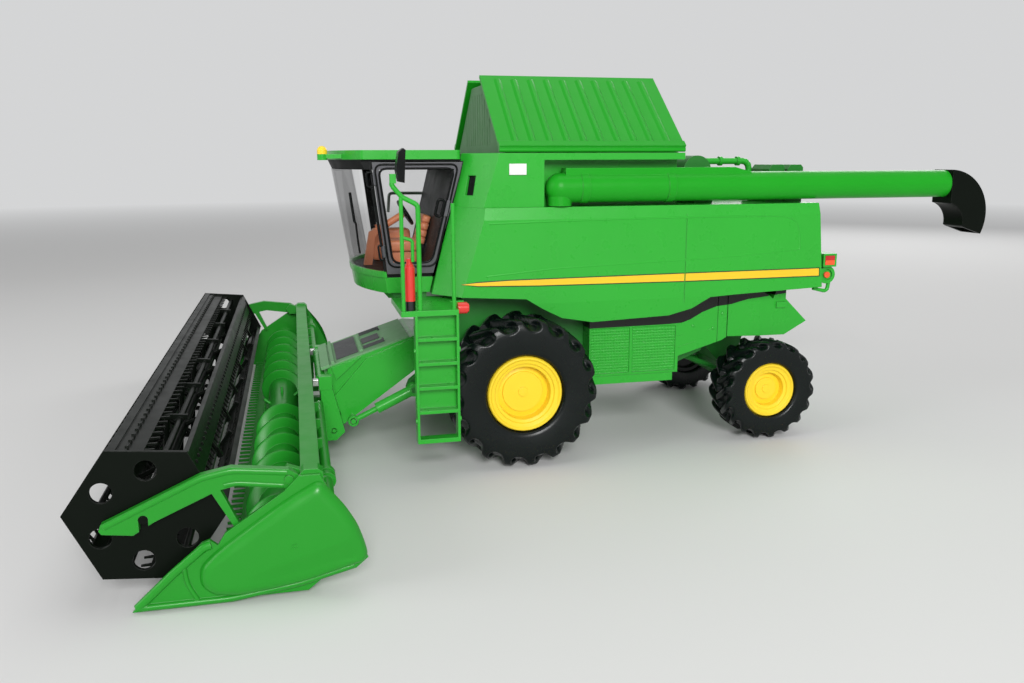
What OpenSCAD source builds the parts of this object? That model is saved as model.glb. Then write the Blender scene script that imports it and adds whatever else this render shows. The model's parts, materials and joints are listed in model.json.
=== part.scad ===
/* [Wheels] */
// Front tyre radius to the tips of its lugs
front_r = 29; // [26:0.5:32]
// Front tyre width
front_w = 25; // [20:0.5:27]
// Distance from the centre plane to the outer face of a front tyre
front_face = 61.2; // [60:0.1:64]
// Front rim radius at the tyre bead
front_rim_r = 14.6; // [12:0.1:17]
// Rear tyre radius to the tips of its lugs
rear_r = 20.9; // [18:0.1:21]
// Rear tyre width
rear_w = 18; // [15:0.5:19]
// Distance from the centre plane to the outer face of a rear tyre
rear_face = 50.8; // [50:0.1:54]
// Rear rim radius at the tyre bead
rear_rim_r = 11.4; // [9:0.1:13]
// Distance between the axles
wheelbase = 108.4; // [107:0.1:112]
// Lugs in each of a tyre's two rows
lug_count = 18; // [16:1:24]
// Height of a lug over the tread
lug_h = 2.6; // [1:0.1:3]
// Gap between a wheel's bore and its axle stub
axle_clear = 0.05; // [0.02:0.01:0.1]

/* [Body] */
// Half width of the lower body
body_half = 50; // [48:0.5:52]
// Height of the lower body's flat top
body_top = 98.5; // [96:0.5:100]
// Rear end of the lower body behind the front axle
body_rear = 129.2; // [124:0.2:132]
// Half width of the grain tank
tank_half = 48; // [46:0.5:49]
// Height of the grain tank's rim
tank_top = 118.6; // [116:0.2:120]
// Rear wall of the grain tank behind the front axle
tank_rear = 67.4; // [60:0.2:75]
// Wall of the grain tank
tank_wall = 1.8; // [1:0.1:3]
// Half width of the open slot between the tank lids
lid_gap = 11.8; // [8:0.2:16]
// Height of the tank lids' upper edges
lid_top = 148.3; // [140:0.1:152]
// Thickness of a tank lid
lid_t = 1.2; // [0.8:0.1:2]
// Ribs on each tank lid
lid_ribs = 10; // [6:1:14]
// Half width of the frame between the wheels
frame_half = 33.5; // [28:0.5:34]
// Half width of the lower side covers
cover_half = 42; // [38:0.5:44]

/* [Cab] */
// Half width of the cab
cab_half = 36; // [32:0.5:38]
// Radius of the curved windscreen in plan
screen_r = 67; // [50:1:90]
// How far the cab leans forward, in degrees
cab_lean = 9; // [5:0.5:11]
// Wall of the cab's frame
cab_wall = 1.6; // [1:0.1:2.4]
// Height of the cab floor
cab_floor = 72; // [68:0.5:74]
// Height of the underside of the cab roof
cab_roof_z = 116.4; // [112:0.2:118]
// Thickness of the window panes
pane_t = 0.7; // [0.5:0.1:1]

/* [Unloading tube] */
// Radius of the unloading tube
tube_r = 5.6; // [4.5:0.1:6]
// Height of the unloading tube's centre line
tube_z = 105.6; // [104:0.1:108]
// Distance from the centre plane to the tube's swing axis
tube_x = 46.2; // [45:0.1:47]
// Place of the tube's swing axis behind the front axle
tube_y = 16.8; // [14:0.1:20]
// Rear end of the steel tube behind the front axle
tube_end = 186; // [150:1:190]

/* [Header] */
// Half width of the header between its end sheets
header_half = 144.2; // [130:0.2:146]
// Radius of the gathering reel to the corners of its end plates
reel_r = 20.3; // [17:0.1:20.5]
// Radius of the cross auger's flights
auger_r = 9.8; // [8:0.1:10]
// Radius of the cross auger's tube
auger_tube_r = 6.2; // [4:0.1:7]
// Pitch of the cross auger's flights
flight_pitch = 19.6; // [14:0.1:24]
// Distance between neighbouring knife fingers
finger_pitch = 4.76; // [3:0.01:6]
// Distance between neighbouring reel tines
tine_pitch = 5.2; // [3:0.1:6]
// Height of the header's top beam
beam_top = 34.8; // [34:0.1:37]

/* [Hidden] */
$fn = 48;
eps = 0.01;
gap = 0.3;

// Places along the machine: y is measured back from the front axle, z up from the ground
reel_c = [-123.7, 25.4];
auger_c = [-90.6, 13.6];
arm_pivot = [-86.6, 33.2];
feeder_pivot = [-27, 39];
lift_eye = [-38.5, 25.6];
lift_pin = [-63, 14.2];
beam_c = -81;
spout_tip = 202.8;
// How far the reel stands turned at rest, in degrees
reel_turn = 5;
// The part's origin is under the middle of its length
mid_y = (spout_tip + reel_c[0] - reel_r * cos(reel_turn)) / 2;

// Leaning plane between the cab and the body: y where it meets height z
function bulkhead(z) = -18.2 - (119.3 - z) * 0.25;

// An outline of (y, z) points given a width along x
module along_x(x0, w) translate([x0, 0, 0]) rotate([90, 0, 90]) linear_extrude(w) children();
// An outline of (x, z) points given a length along y
module along_y(y0, l) translate([0, y0 + l, 0]) rotate([90, 0, 0]) linear_extrude(l) children();
module both() { children(); mirror([1, 0, 0]) children(); }
// A straight round bar between two points
module bar(a, b, r) {
  d = b - a;
  h = norm(d);
  translate(a) rotate([0, acos(d[2] / h), atan2(d[1], d[0])]) cylinder(h = h, r = r);
}
function unit(v) = v / norm(v);
// The turn of a path at an inner point, in degrees
function turn_at(p, i) = acos(unit(p[i] - p[i - 1]) * unit(p[i + 1] - p[i]));
// A corner of a path cut to an arc of radius bend, in steps of 30 degrees at most
function corner_arc(a, b, c, bend) = let (u = unit(a - b), v = unit(c - b), turn = 180 - acos(u * v),
  reach = bend * tan(turn / 2), centre = b + unit(u + v) * bend / cos(turn / 2),
  e = b + u * reach - centre, f = b + v * reach - centre, n = ceil(turn / 30))
  [for (k = [0 : n]) centre + (sin(turn * (1 - k / n)) * e + sin(turn * k / n) * f) / sin(turn)];
function rounded(p, bend) = [p[0], for (i = [1 : len(p) - 2])
  each corner_arc(p[i - 1], p[i], p[i + 1], bend), p[len(p) - 1]];
// A round bar through a list of points: straight lengths that end in small balls at the turns
module bent_bar(p, r) {
  last = len(p) - 1;
  for (i = [0 : last - 1]) {
    d = unit(p[i + 1] - p[i]);
    near = i == 0 ? 0 : r * tan(turn_at(p, i) / 2);
    far = i == last - 1 ? 0 : r * tan(turn_at(p, i + 1) / 2);
    bar(p[i] + d * near, p[i + 1] - d * far, r);
  }
  for (i = [1 : last - 1]) translate(p[i]) sphere(r = r / cos(turn_at(p, i) / 2) + 0.02);
}
// A cylinder lying along x
module x_rod(x0, w, y, z, r) translate([x0, y, z]) rotate([0, 90, 0]) cylinder(h = w, r = r);

// Lower edge of the body from the cab to the rear, over both wheels
belly = [[-22.3, 65.4], [2.9, 63.8], [9, 60], [17.2, 55.8], [29.7, 53.6], [61.8, 54.9],
  [71.6, 57.4], [79.2, 61.7], [91, 62.4]];
module side_outline() polygon(concat([[-40, body_top], [-40, 65.4]], belly,
  [[body_rear, 64], [body_rear - 3.2, body_top]]));

// Cuts the front corner of the body to the slanted facet beside the cab
module at_corner(half, y_low, z_low)
  translate([half, y_low, z_low]) rotate([0, 0, 37]) rotate([-14, 0, 0]) children();
module corner_cut(half, y_low, z_low)
  at_corner(half, y_low, z_low) translate([-60, -60, -30]) cube([120, 60, 100]);

seam_y = 67.6;
seam_w = 0.4;
seam_depth = 0.3;
module body_shell() color("green") difference() {
  intersection() {
    along_x(-body_half, 2 * body_half) side_outline();
    along_y(-45, 190) polygon([[-body_half + 1.2, 50], [body_half - 1.2, 50], [body_half, 62],
      [body_half, 94], [body_half - 1, body_top], [-body_half + 1, body_top],
      [-body_half, 94], [-body_half, 62]]);
  }
  both() corner_cut(body_half, -22.3, 65.4);
  // Leaning front wall behind the cab
  along_x(-60, 120) polygon([[-60, 50], [bulkhead(50), 50], [bulkhead(120), 120], [-60, 120]]);
  // Seam between the front and the rear side panel
  both() translate([body_half - seam_depth, seam_y, 50]) cube([2, seam_w, 60]);
  // Lower half of the grain space
  translate([-tank_half + 6, 0, 84]) cube([2 * tank_half - 12, tank_rear - 8, 20]);
}

module grain_tank() color("green") difference() {
  along_x(-tank_half, 2 * tank_half) polygon([[bulkhead(body_top), body_top],
    [tank_rear, body_top], [tank_rear - 0.3, tank_top], [bulkhead(tank_top), tank_top]]);
  both() corner_cut(tank_half, -13.2, body_top);
  // Grain space
  translate([-tank_half + 10, -8, body_top - 1]) cube([2 * tank_half - 20, tank_rear + 8 - tank_wall, 30]);
  // Air slots in the slanted front corners
  both() at_corner(tank_half, -13.2, body_top) translate([-10.4, -eps, 4.6]) cube([4.2, 1.4, 7.6]);
  // Recess for the unloading tube
  translate([tank_x_recess(), tube_y - tube_r - 0.9, body_top - 1])
    cube([20, 100, tank_top - 2.6 - body_top + 1]);
}
function tank_x_recess() = tube_x - tube_r - 0.6;

// Screens that close the front and the rear between the lids
screen_t = 1.2;
lid_hinge = [tank_half - 0.9, tank_top + 1.2];
function lid_run() = [lid_hinge[0] - lid_gap, lid_top - lid_hinge[1]];
module screen_outline() polygon([[-tank_half + 2, tank_top], [tank_half - 2, tank_top],
  [tank_half - 3.4, tank_top + 0.4], [lid_gap, lid_top - 2.6], [-lid_gap, lid_top - 2.6],
  [-tank_half + 3.4, tank_top + 0.4]]);
slot_pitch = 4.8;
// Height of a screen's sloping edge at a distance x from the centre plane
function screen_top(x) = lid_top - 2.6 - max(0, x - lid_gap) *
  (lid_top - 3 - tank_top) / (tank_half - 3.4 - lid_gap);
module tank_screens() color("seagreen") {
  for (y = [-5.4, tank_rear - 3.4]) difference() {
    along_y(y, screen_t) screen_outline();
    for (i = [-5 : 5]) translate([i * slot_pitch - 0.5, y - 1, tank_top + 3])
      cube([1, 4, screen_top(abs(i) * slot_pitch + 0.5) - tank_top - 6.4]);
  }
}

lid_len = 74.2;
lid_y0 = -7;
ledge = 2.8;
rib_h = 0.7;
rib_pts = [[-1.5, 0], [-0.5, rib_h], [0.5, rib_h], [1.5, 0]];
module lid() {
  run = lid_run();
  l = norm(run);
  a = atan2(run[1], run[0]);
  translate([lid_hinge[0], lid_y0, lid_hinge[1]]) rotate([0, a, 0]) translate([-l, 0, 0]) {
    cube([l, lid_len, lid_t]);
    for (i = [0 : lid_ribs - 1]) translate([3, (i + 1) * lid_len / (lid_ribs + 1), lid_t - eps])
      rotate([90, 0, 90]) linear_extrude(l - 3 - ledge / 2) polygon(rib_pts);
    translate([l - ledge, 0, lid_t - eps]) cube([ledge, lid_len, rib_h + 0.1]);
  }
  translate([lid_hinge[0], lid_y0, lid_hinge[1]]) rotate([-90, 0, 0]) cylinder(h = lid_len, r = 0.9);
}
module lid_left() color("green") lid();
module lid_right() color("green") mirror([1, 0, 0]) lid();

screw_r = 1.6;
module chassis() color("darkgreen") {
  difference() {
    union() {
      along_x(-frame_half, 2 * frame_half) polygon(concat([[-24, 50], [-24, 65.4]], belly,
        [[91, 43], [88, 38], [64, 28], [30, 28], [22, 36], [-16, 36]]));
    }
    // Rear of the frame narrows to clear the steered wheels
    both() translate([22, 84, 20]) cube([30, 40, 25]);
    // Screw holes for a display base
    for (y = [36, 60]) translate([0, y, 27]) cylinder(h = 9, r = screw_r);
  }
  // Rear axle carrier
  along_x(-9, 18) polygon([[88, 42.9], [118, 42.4], [112, 24.5], [104.8, 24.5]]);
  // Lugs with the pins of the feeder house and the lift cylinders
  both() {
    along_x(feeder_half + 0.5, 3.5) polygon([[-16, 36], [-22, 52], [-27, 45.5], [-31, 39], [-33, 34],
      [-40, 28.5], [-41.2, 25.6], [-38.5, 23], [-30, 28]]);
    x_rod(feeder_half - 3, 4, feeder_pivot[0], feeder_pivot[1], 1.5);
    x_rod(feeder_half + 3, lift_x + 2 - feeder_half - 3, lift_eye[0], lift_eye[1], 1.2);
  }
}

// Grille panels in the lower side covers, each from y0 to y1
grilles = [[31.6, 48.2], [49.4, 68.2]];
grille_z = [30.6, 49.4];
module side_covers() color("green") both() {
  difference() {
    along_x(frame_half + gap, cover_half - frame_half - gap) polygon([[31, 53], [62, 54], [72, 56.6],
      [79, 60.8], [91, 61.5], [91, 43.2], [89, 42], [69.5, 36.3], [69.5, 29.6], [31, 29.6]]);
    for (g = grilles) translate([cover_half - 0.8, g[0], grille_z[0]])
      cube([2, g[1] - g[0], grille_z[1] - grille_z[0]]);
    // Line between the cover and its rear post
    translate([cover_half - 0.4, 86.6, 40]) cube([1, 0.4, 22]);
  }
  // Bars of the grilles
  for (g = grilles, i = [0 : 10]) translate([cover_half - 0.9, g[0] - eps, grille_z[0] + 0.5 + i * 1.72])
    cube([0.5, g[1] - g[0] + 2 * eps, 0.9]);
  // Shelf under the grilles
  translate([frame_half + gap, 31, 26.4]) cube([cover_half + 0.6 - frame_half - gap, 36, 3.2 + eps]);
}

chop_pts = [[91.4, 43.5], [91.4, 61.4], [106, 62.2], [109.5, 60.4], [112.2, 58.4], [114, 62.4],
  [118.5, 62.4], [118.5, 58.1], [129.3, 48], [118.5, 42.7]];
fold_y = 106;
module straw_chopper() color("green") {
  intersection() {
    along_x(-cover_half, 2 * cover_half) polygon(chop_pts);
    // The sides turn inwards behind the fold
    translate([0, 0, 30]) linear_extrude(40) polygon([[-cover_half, 80], [cover_half, 80],
      [cover_half, fold_y], [cover_half - 3.6, 140], [3.6 - cover_half, 140], [-cover_half, fold_y]]);
  }
  // Brackets at the upper rear corners
  both() translate([cover_half - 4, 113.6, 54.6]) cube([4, 4.6, 2.4]);
}

// Side outline of a rounded deck box of a length w, from y = 0
function box_pts(w) = [[0, 0], [0.9, 13.4], [2.4, 15.2], [w - 1, 15.2], [w, 14]];
module deck_boxes() color("darkgreen") {
  for (y = [108.6, 117.1]) translate([0, y, body_top])
    along_x(22, 15) polygon(concat(box_pts(8), [[8, 0]]));
  // Rounded guard behind the left lid and the low cover over the engine
  translate([10, 77, body_top]) cube([26, 8, 13]);
  x_rod(10, 26, 78, body_top + 13, 6);
  translate([-36, 72, body_top]) cube([44, 52, 6]);
  for (i = [0 : 6]) translate([-30, 78 + i * 6, body_top + 6 - eps]) cube([32, 2.4, 0.8]);
}

pipe_z = 115.2;
module exhaust() color("green") {
  bent_bar(rounded([[26, 83.9, pipe_z], [26, 106, pipe_z], [26, 106, body_top + gap]], 3), 1.3);
  for (y = [92, 100]) bar([26, y, pipe_z], [26, y + 1.4, pipe_z], 1.9);
  translate([26, 106, body_top + gap]) cylinder(h = 8, r = 2.2);
}

lamp_x = body_half - 9;
module tail_lamps() color("green") both() {
  difference() {
    translate([lamp_x, body_rear + gap, 72.2]) cube([8.6, 6, 5.4]);
    // Pocket for the lens in the outer face
    translate([lamp_x + 7.7, body_rear + gap + 0.7, 72.9]) cube([2, 4.5, 4]);
  }
  translate([lamp_x + 4, body_rear + gap + 3.4, 68.6]) rotate([0, 90, 0]) difference() {
    cylinder(h = 2.4, r = 3.7);
    translate([0, 0, 1.6]) cylinder(h = 2, r = 2.4);
  }
  bent_bar(rounded([[lamp_x + 5, body_rear - 1.6, 63], [lamp_x + 5, body_rear + 5, 61.4],
    [lamp_x + 5, body_rear + 5.6, 66]], 1.6), 0.8);
}
module tail_lenses() color("red") both() {
  translate([lamp_x + 7.75, body_rear + gap + 0.8, 73]) cube([1, 4.3, 3.8]);
  x_rod(lamp_x + 5.65, 0.9, body_rear + gap + 3.4, 68.6, 1.3);
}

module side_lamps() color("white") {
  both() translate([tank_half, -3.4, 110.6]) cube([0.7, 6.6, 4.1]);
}

// Plan of the cab with a curved front, drawn smaller by inset
module cab_plan(inset) intersection() {
  translate([0, -66 + screen_r]) circle(r = screen_r - inset, $fn = 180);
  translate([-cab_half + inset, -70]) square([2 * (cab_half - inset), 60]);
}
// The cab's leaning form between two heights
module cab_form(inset, z0, z1, back) intersection() {
  translate([0, 0, 114]) rotate([cab_lean, 0, 0]) translate([0, 0, -60]) linear_extrude(80) cab_plan(inset);
  along_x(-60, 120) polygon([[-90, z0], [bulkhead(z0) - gap - back, z0], [bulkhead(z1) - gap - back, z1], [-90, z1]]);
}
door_pts = [[-53.2, cab_roof_z - 0.8], [-18.4, cab_roof_z - 0.8], [-19.8, 110], [-30.6, cab_floor + 1.2], [-48.6, cab_floor + 1.2]];
module door_outline() polygon(door_pts);
module window_outline() polygon([[-50.4, 112.8], [-22, 112.8], [-31.5, 77.8], [-46, 77.8]]);

visor_z = 112.6;
module cab_frame() color([0.08, 0.08, 0.08]) difference() {
  union() {
    cab_form(0, cab_floor, cab_roof_z, 0);
    // Visor that widens up to the roof's front edge
    intersection() {
      translate([0, screen_r - 66, visor_z])
        cylinder(h = cab_roof_z - visor_z, r1 = screen_r - 0.6, r2 = screen_r + 1.6, $fn = 180);
      translate([-cab_half + 0.2, -80, visor_z]) cube([2 * cab_half - 0.4, 24, cab_roof_z - visor_z]);
    }
  }
  cab_form(cab_wall, cab_floor + 1.2, cab_roof_z + 1, cab_wall);
  // Windscreen opening
  translate([-31, -80, 76.4]) cube([62, 28, visor_z - 76.4]);
  // Doorway on the left
  along_x(cab_half - 4, 8) door_outline();
  // Side window on the right
  along_x(-cab_half - 4, 8) window_outline();
}

module cab_glass() color([0.8, 0.9, 0.9, 0.4]) {
  intersection() {
    difference() {
      cab_form(0.4, cab_floor + 2, cab_roof_z - 1, 0);
      cab_form(0.4 + pane_t, cab_floor, cab_roof_z, 0);
    }
    translate([-30.7, -80, 76.7]) cube([61.4, 28, visor_z - 77]);
  }
  along_x(-cab_half + 0.4, pane_t) polygon([[-50, 112.5], [-22.4, 112.5], [-31.7, 78.1], [-45.8, 78.1]]);
}

module cab_roof() color("green") intersection() {
  translate([0, 0, cab_roof_z]) linear_extrude(3.4) offset(r = 1.6) intersection() {
    translate([0, -66.4 + screen_r]) circle(r = screen_r, $fn = 120);
    translate([-cab_half, -70]) square([2 * cab_half, 48.8]);
  }
  translate([-60, -90, 100]) cube([120, 90, 40]);
}

module cab_base() color("green") {
  cab_form(0.5, 66, cab_floor, 0.4);
  along_x(-24, 48) polygon([[-50, 66], [-34, 66], [-34, 62.4], [-47, 62.4]]);
}

beacon_c = [24, -70.4, 118.4];
module beacon() color("gold") translate(beacon_c) {
  cylinder(h = 1.6, r = 1.9);
  intersection() {
    translate([0, 0, 1.2]) sphere(r = 1.9);
    translate([-3, -3, 1.5]) cube([6, 6, 4]);
  }
}
module beacon_bracket() color("green") translate(beacon_c) {
  difference() {
    translate([-1.4, 0, -1.6]) cube([2.8, 9, 1.6]);
    translate([-beacon_c[0], screen_r - 66.4 - beacon_c[1], -5]) cylinder(h = 10, r = screen_r + 1.7, $fn = 120);
  }
  translate([0, 0, -2.2]) cylinder(h = 2.2, r = 1.9);
}

module seat() color("chocolate") {
  translate([-8, -46, cab_floor + 1.2]) cube([16, 14, 10]);
  along_x(-8, 16) polygon([[-34, 83.2], [-30.2, 83.2], [-27.8, 91.4], [-29.2, 92.6], [-31.2, 91.8]]);
  // Console on the right and steering column
  translate([-20, -50, cab_floor + 1.2]) cube([8, 17, 14]);
  along_x(-2.5, 5) polygon([[-56, cab_floor + 1.2], [-50, cab_floor + 1.2], [-48.2, 86],
    [-50.2, 88], [-52.6, 86.6]]);
  wheel_tilt() translate([0, 0, -14]) cylinder(h = 14 - 0.2, r = 1.6);
}

module wheel_tilt() translate([0, -37.4, 94.1]) rotate([-59, 0, 0]) children();
module steering_wheel() color([0.1, 0.1, 0.1]) wheel_tilt() {
  rotate_extrude() translate([5.2, 0.8]) circle(r = 0.7, $fn = 16);
  cylinder(h = 1.2, r = 1.4);
  for (a = [90, 210, 330]) rotate([0, 0, a]) translate([0, -0.6, 0.3]) cube([5.2, 1.2, 0.8]);
}

door_gap = 0.25;
// The door's swing axis lies along its front edge, outside its face
door_lean = atan2(door_pts[4][0] - door_pts[0][0], door_pts[0][1] - door_pts[4][1]);
function door_front(z) = door_pts[0][0] + (door_pts[0][1] - z) * tan(door_lean);
module door_axis(z) translate([cab_half + 0.8, door_front(z), z]) rotate([door_lean, 0, 0]) children();
module door_frame() color([0.25, 0.25, 0.26]) {
  difference() {
    along_x(cab_half - 1.1, 1.5) offset(delta = -door_gap) door_outline();
    along_x(cab_half - 4, 8) window_outline();
  }
  // Two hinge barrels on the door's swing axis and the handle
  for (z = [80, 107]) door_axis(z) cylinder(h = 4.4, r = 0.75);
  along_x(cab_half + 0.3, 1) polygon([[-26.4, 95], [-25.2, 95], [-23.8, 101], [-25, 101]]);
}
module door_glass() color([0.8, 0.9, 0.9, 0.4])
  along_x(cab_half - 0.7, pane_t) offset(delta = -0.02) window_outline();

deck_z = 64;
deck_x = 67.4;
ladder_x = 62.6;
ladder_y = [-42.2, -27.4];
deck_front = -47;
deck_rear = ladder_y[1] + 0.9;
module platform() color("green") {
  translate([frame_half, deck_front, deck_z - 2]) cube([deck_x - frame_half, deck_rear - deck_front, 2]);
  // Tongue that reaches back to the frame
  translate([frame_half, deck_rear - eps, deck_z - 2]) cube([14, 5.5, 2]);
}
// Lower edges of the ladder's treads
treads = [26.2, 35.1, 44, 52.9];
ladder_in = ladder_y[1] - ladder_y[0] - 0.9;
module ladder() color("green") {
  for (y = ladder_y) translate([ladder_x, y, 15]) cube([deck_x - ladder_x, 0.9, deck_z - 17]);
  // Back sheet and the treads in front of it
  translate([ladder_x, ladder_y[0] + 0.9 - eps, treads[0]]) cube([0.8, ladder_in + 2 * eps, deck_z - 2 - treads[0]]);
  for (z = treads) translate([ladder_x, ladder_y[0] + 0.9 - eps, z])
    cube([deck_x - ladder_x + 0.4, ladder_in + 2 * eps, 1.2]);
  // Open frame at the foot
  translate([ladder_x, ladder_y[0] + 0.9 - eps, 15]) cube([deck_x - ladder_x, ladder_in + 2 * eps, 1.6]);
  // Small bosses on the rails
  for (y = [ladder_y[0] - 0.5, ladder_y[1] + 0.9 - eps], z = [23.4, 49.4])
    translate([deck_x - 1.4, y, z]) rotate([-90, 0, 0]) cylinder(h = 0.5 + eps, r = 0.9);
}
module handrails() color("green") {
  rail_x = deck_x - 1;
  bent_bar([[rail_x, -28, deck_z], [rail_x, -28, 101.4]], 0.75);
  bent_bar(rounded([[rail_x, -40.2, deck_z], [rail_x, -40.2, 101], [rail_x, -45.6, 103.8],
    [rail_x, -49.2, 108], [rail_x, -48.1, 111.2]], 2), 0.85);
  bent_bar([[rail_x, -46, deck_z], [rail_x, -46, 103.5]], 0.7);
  bent_bar(rounded([[rail_x, -46, 90], [rail_x, -42.4, 88.8], [rail_x, -42.4, 81.4]], 1.2), 0.6);
  // Bracket of the mirror
  translate([rail_x - 0.9, -49.6, 108.4]) cube([1.8, 2.1, 3.2]);
}
module mirrors() color([0.1, 0.1, 0.1]) translate([deck_x - 3.9, 0, 0])
  along_x(0, 5.8) polygon([[-46.8, 109], [-44.8, 108.6], [-44.2, 119.6], [-45, 120.2], [-46.6, 119], [-47.6, 113]]);
module extinguisher() color("red") translate([deck_x - 3, -43.4, deck_z]) {
  cylinder(h = 15.4, r = 1.9);
  cylinder(h = 16.4, r = 1.5);
  translate([0, 0, 16.2]) cylinder(h = 2.2, r = 1.1);
}
module step_lamp() color("red") translate([deck_x - 3.4, deck_rear + 0.1, deck_z]) rotate([-90, 0, 0]) {
  cylinder(h = 3.4, r = 2.1);
  cylinder(h = 4, r = 1.6);
}

module unloading_tube() color("green") {
  translate([tube_x, tube_y, body_top + gap]) cylinder(h = tube_z - body_top - gap, r = tube_r - 1);
  translate([tube_x, tube_y, tube_z]) sphere(r = tube_r);
  translate([tube_x, tube_y, tube_z]) rotate([-90, 0, 0]) cylinder(h = tube_end - tube_y, r = tube_r);
  // Two rings and the flat rib along the top
  for (y = [24.4, 59.4]) translate([tube_x, y, tube_z]) rotate([-90, 0, 0]) cylinder(h = 3, r = tube_r + 0.35);
  along_x(tube_x - 3, 6) polygon([[18.4, tube_z], [18.4, rib_top], [88, rib_top], [95, tube_z + tube_r - 0.1],
    [95, tube_z]]);
}
rib_top = tube_z + 7.4;
// The spout bends down along two arcs, given as centre and radius
spout_c = [tube_end - 1, tube_z - 13];
module spout_arc(grow) intersection() {
  difference() {
    translate(spout_c) circle(r = 18.8 + grow, $fn = 96);
    translate(spout_c + [-1, -3.4]) circle(r = 8.6 - grow, $fn = 96);
  }
  polygon([[tube_end, 118], [230, 118], [spout_tip + 1.2, 83.8], [193.4, 87.4], [tube_end, 92]]);
}
module spout() color([0.1, 0.1, 0.1]) difference() {
  along_x(tube_x - tube_r - 0.2, 2 * tube_r + 0.4) spout_arc(0);
  along_x(tube_x - tube_r + 1, 2 * tube_r - 2) translate([0.6, -0.6]) spout_arc(-1.2);
}

stub_r = 3;
module front_axle() color("darkgreen") {
  x_rod(-frame_half, 2 * frame_half, 0, front_r, 7);
  both() x_rod(frame_half, front_face - front_dish - 1 - frame_half, 0, front_r, stub_r);
}
king_x = 29.5;
boss_r = 2.8;
module rear_axle() color("darkgreen") {
  difference() {
    union() {
      translate([-king_x, wheelbase - boss_r, rear_r - 3.2]) cube([2 * king_x, 2 * boss_r, 6.4]);
      both() translate([king_x, wheelbase, rear_r - 3.2]) cylinder(h = 6.4, r = boss_r);
    }
    both() translate([king_x - 3.4, wheelbase - 5, rear_r - 1.9]) cube([10, 10, 3.8]);
  }
  both() translate([king_x, wheelbase, rear_r - 3]) cylinder(h = 6, r = 1.2);
  // Rods in front of the axle
  both() bar([15, 82, 31], [15, wheelbase - 2, rear_r], 1.2);
}
module knuckle() {
  difference() {
    union() {
      translate([king_x, wheelbase, rear_r - 1.6]) cylinder(h = 3.2, r = boss_r);
      translate([king_x, wheelbase - 1.4, rear_r - 1.6]) cube([4.6, 2.8, 3.2]);
    }
    translate([king_x, wheelbase, rear_r - 4]) cylinder(h = 8, r = 1.25);
  }
  x_rod(king_x + 4.4, rear_face - rear_dish - 1 - king_x - 4.4, wheelbase, rear_r, 2);
}
module knuckle_left() color("green") knuckle();
module knuckle_right() color("green") mirror([1, 0, 0]) knuckle();

// A tyre with its axis along x and its outer face at x = 0, growing inwards
module tyre(r, w, rim_r, lug) {
  tread = r - lug;
  rotate([0, 90, 0]) {
    rotate_extrude($fn = 96) polygon([[rim_r, -w + 3.2], [rim_r + 1.4, -w + 1], [tread - 4, -w], [tread - 2.2, -w + 0.8],
      [tread, -w + 5], [tread, -5], [tread - 2.2, -0.8], [tread - 4, 0], [rim_r + 1.4, -1], [rim_r, -3.2]]);
    intersection() {
      translate([0, 0, -w + 0.4]) cylinder(h = w - 0.8, r = r, $fn = 96);
      for (side = [0, 1], i = [0 : lug_count - 1])
        rotate([0, 0, (i + side / 2) * 360 / lug_count])
          translate([tread - 3.4, 0, -w / 2]) mirror([0, 0, side]) rotate([0, 90, 0])
            linear_extrude(lug + 5) polygon([[0.8, 1.4], [0.8, -1.2], [-w / 4, -w / 7 - 1.3],
              [-w / 2, -w / 4 - 1.8], [-w / 2, 1.8 - w / 4], [-w / 4, 1.5 - w / 7]]);
    }
  }
}
module front_tyre() translate([front_face, 0, front_r]) tyre(front_r, front_w, front_rim_r, lug_h);
module rear_tyre() translate([rear_face, wheelbase, rear_r]) tyre(rear_r, rear_w, rear_rim_r, lug_h * 0.8);
module tyre_front_left() color([0.08, 0.08, 0.08]) front_tyre();
module tyre_front_right() color([0.08, 0.08, 0.08]) mirror([1, 0, 0]) front_tyre();
module tyre_rear_left() color([0.08, 0.08, 0.08]) rear_tyre();
module tyre_rear_right() color([0.08, 0.08, 0.08]) mirror([1, 0, 0]) rear_tyre();

// A closed rim with its axis along x and its outer edge at x = 0; the bore is blind
module rim(r, w, bore, deep) rotate([0, 90, 0]) difference() {
  rotate_extrude($fn = 96) polygon([[0, -w + 4], [r - 2.4, -w + 4], [r - 1.6, -w + 1.8], [r, -w + 1.8],
    [r, -2.2], [r - 0.4, -1.5], [r - 1, -1.4], [r - 1.6, -2], [r - 2.8, -2.3], [r - 3.1, -2.9], [r - 4.2, -3.2],
    [r - 4.5, -deep], [r - 6.6, 0.5 - deep], [r - 6.8, 1.1 - deep], [1.9, 1.3 - deep], [1.8, 1.7 - deep],
    [0, 1.8 - deep]]);
  translate([0, 0, -w]) cylinder(h = w - deep - 0.9 + axle_clear, r = bore);
}
front_dish = 7;
rear_dish = 6;
module front_rim() translate([front_face, 0, front_r]) rim(front_rim_r - 0.02, front_w, stub_r + axle_clear, front_dish);
module rear_rim() translate([rear_face, wheelbase, rear_r]) rim(rear_rim_r - 0.02, rear_w, 2 + axle_clear, rear_dish);
module rim_front_left() color("gold") front_rim();
module rim_front_right() color("gold") mirror([1, 0, 0]) front_rim();
module rim_rear_left() color("gold") rear_rim();
module rim_rear_right() color("gold") mirror([1, 0, 0]) rear_rim();

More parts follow.
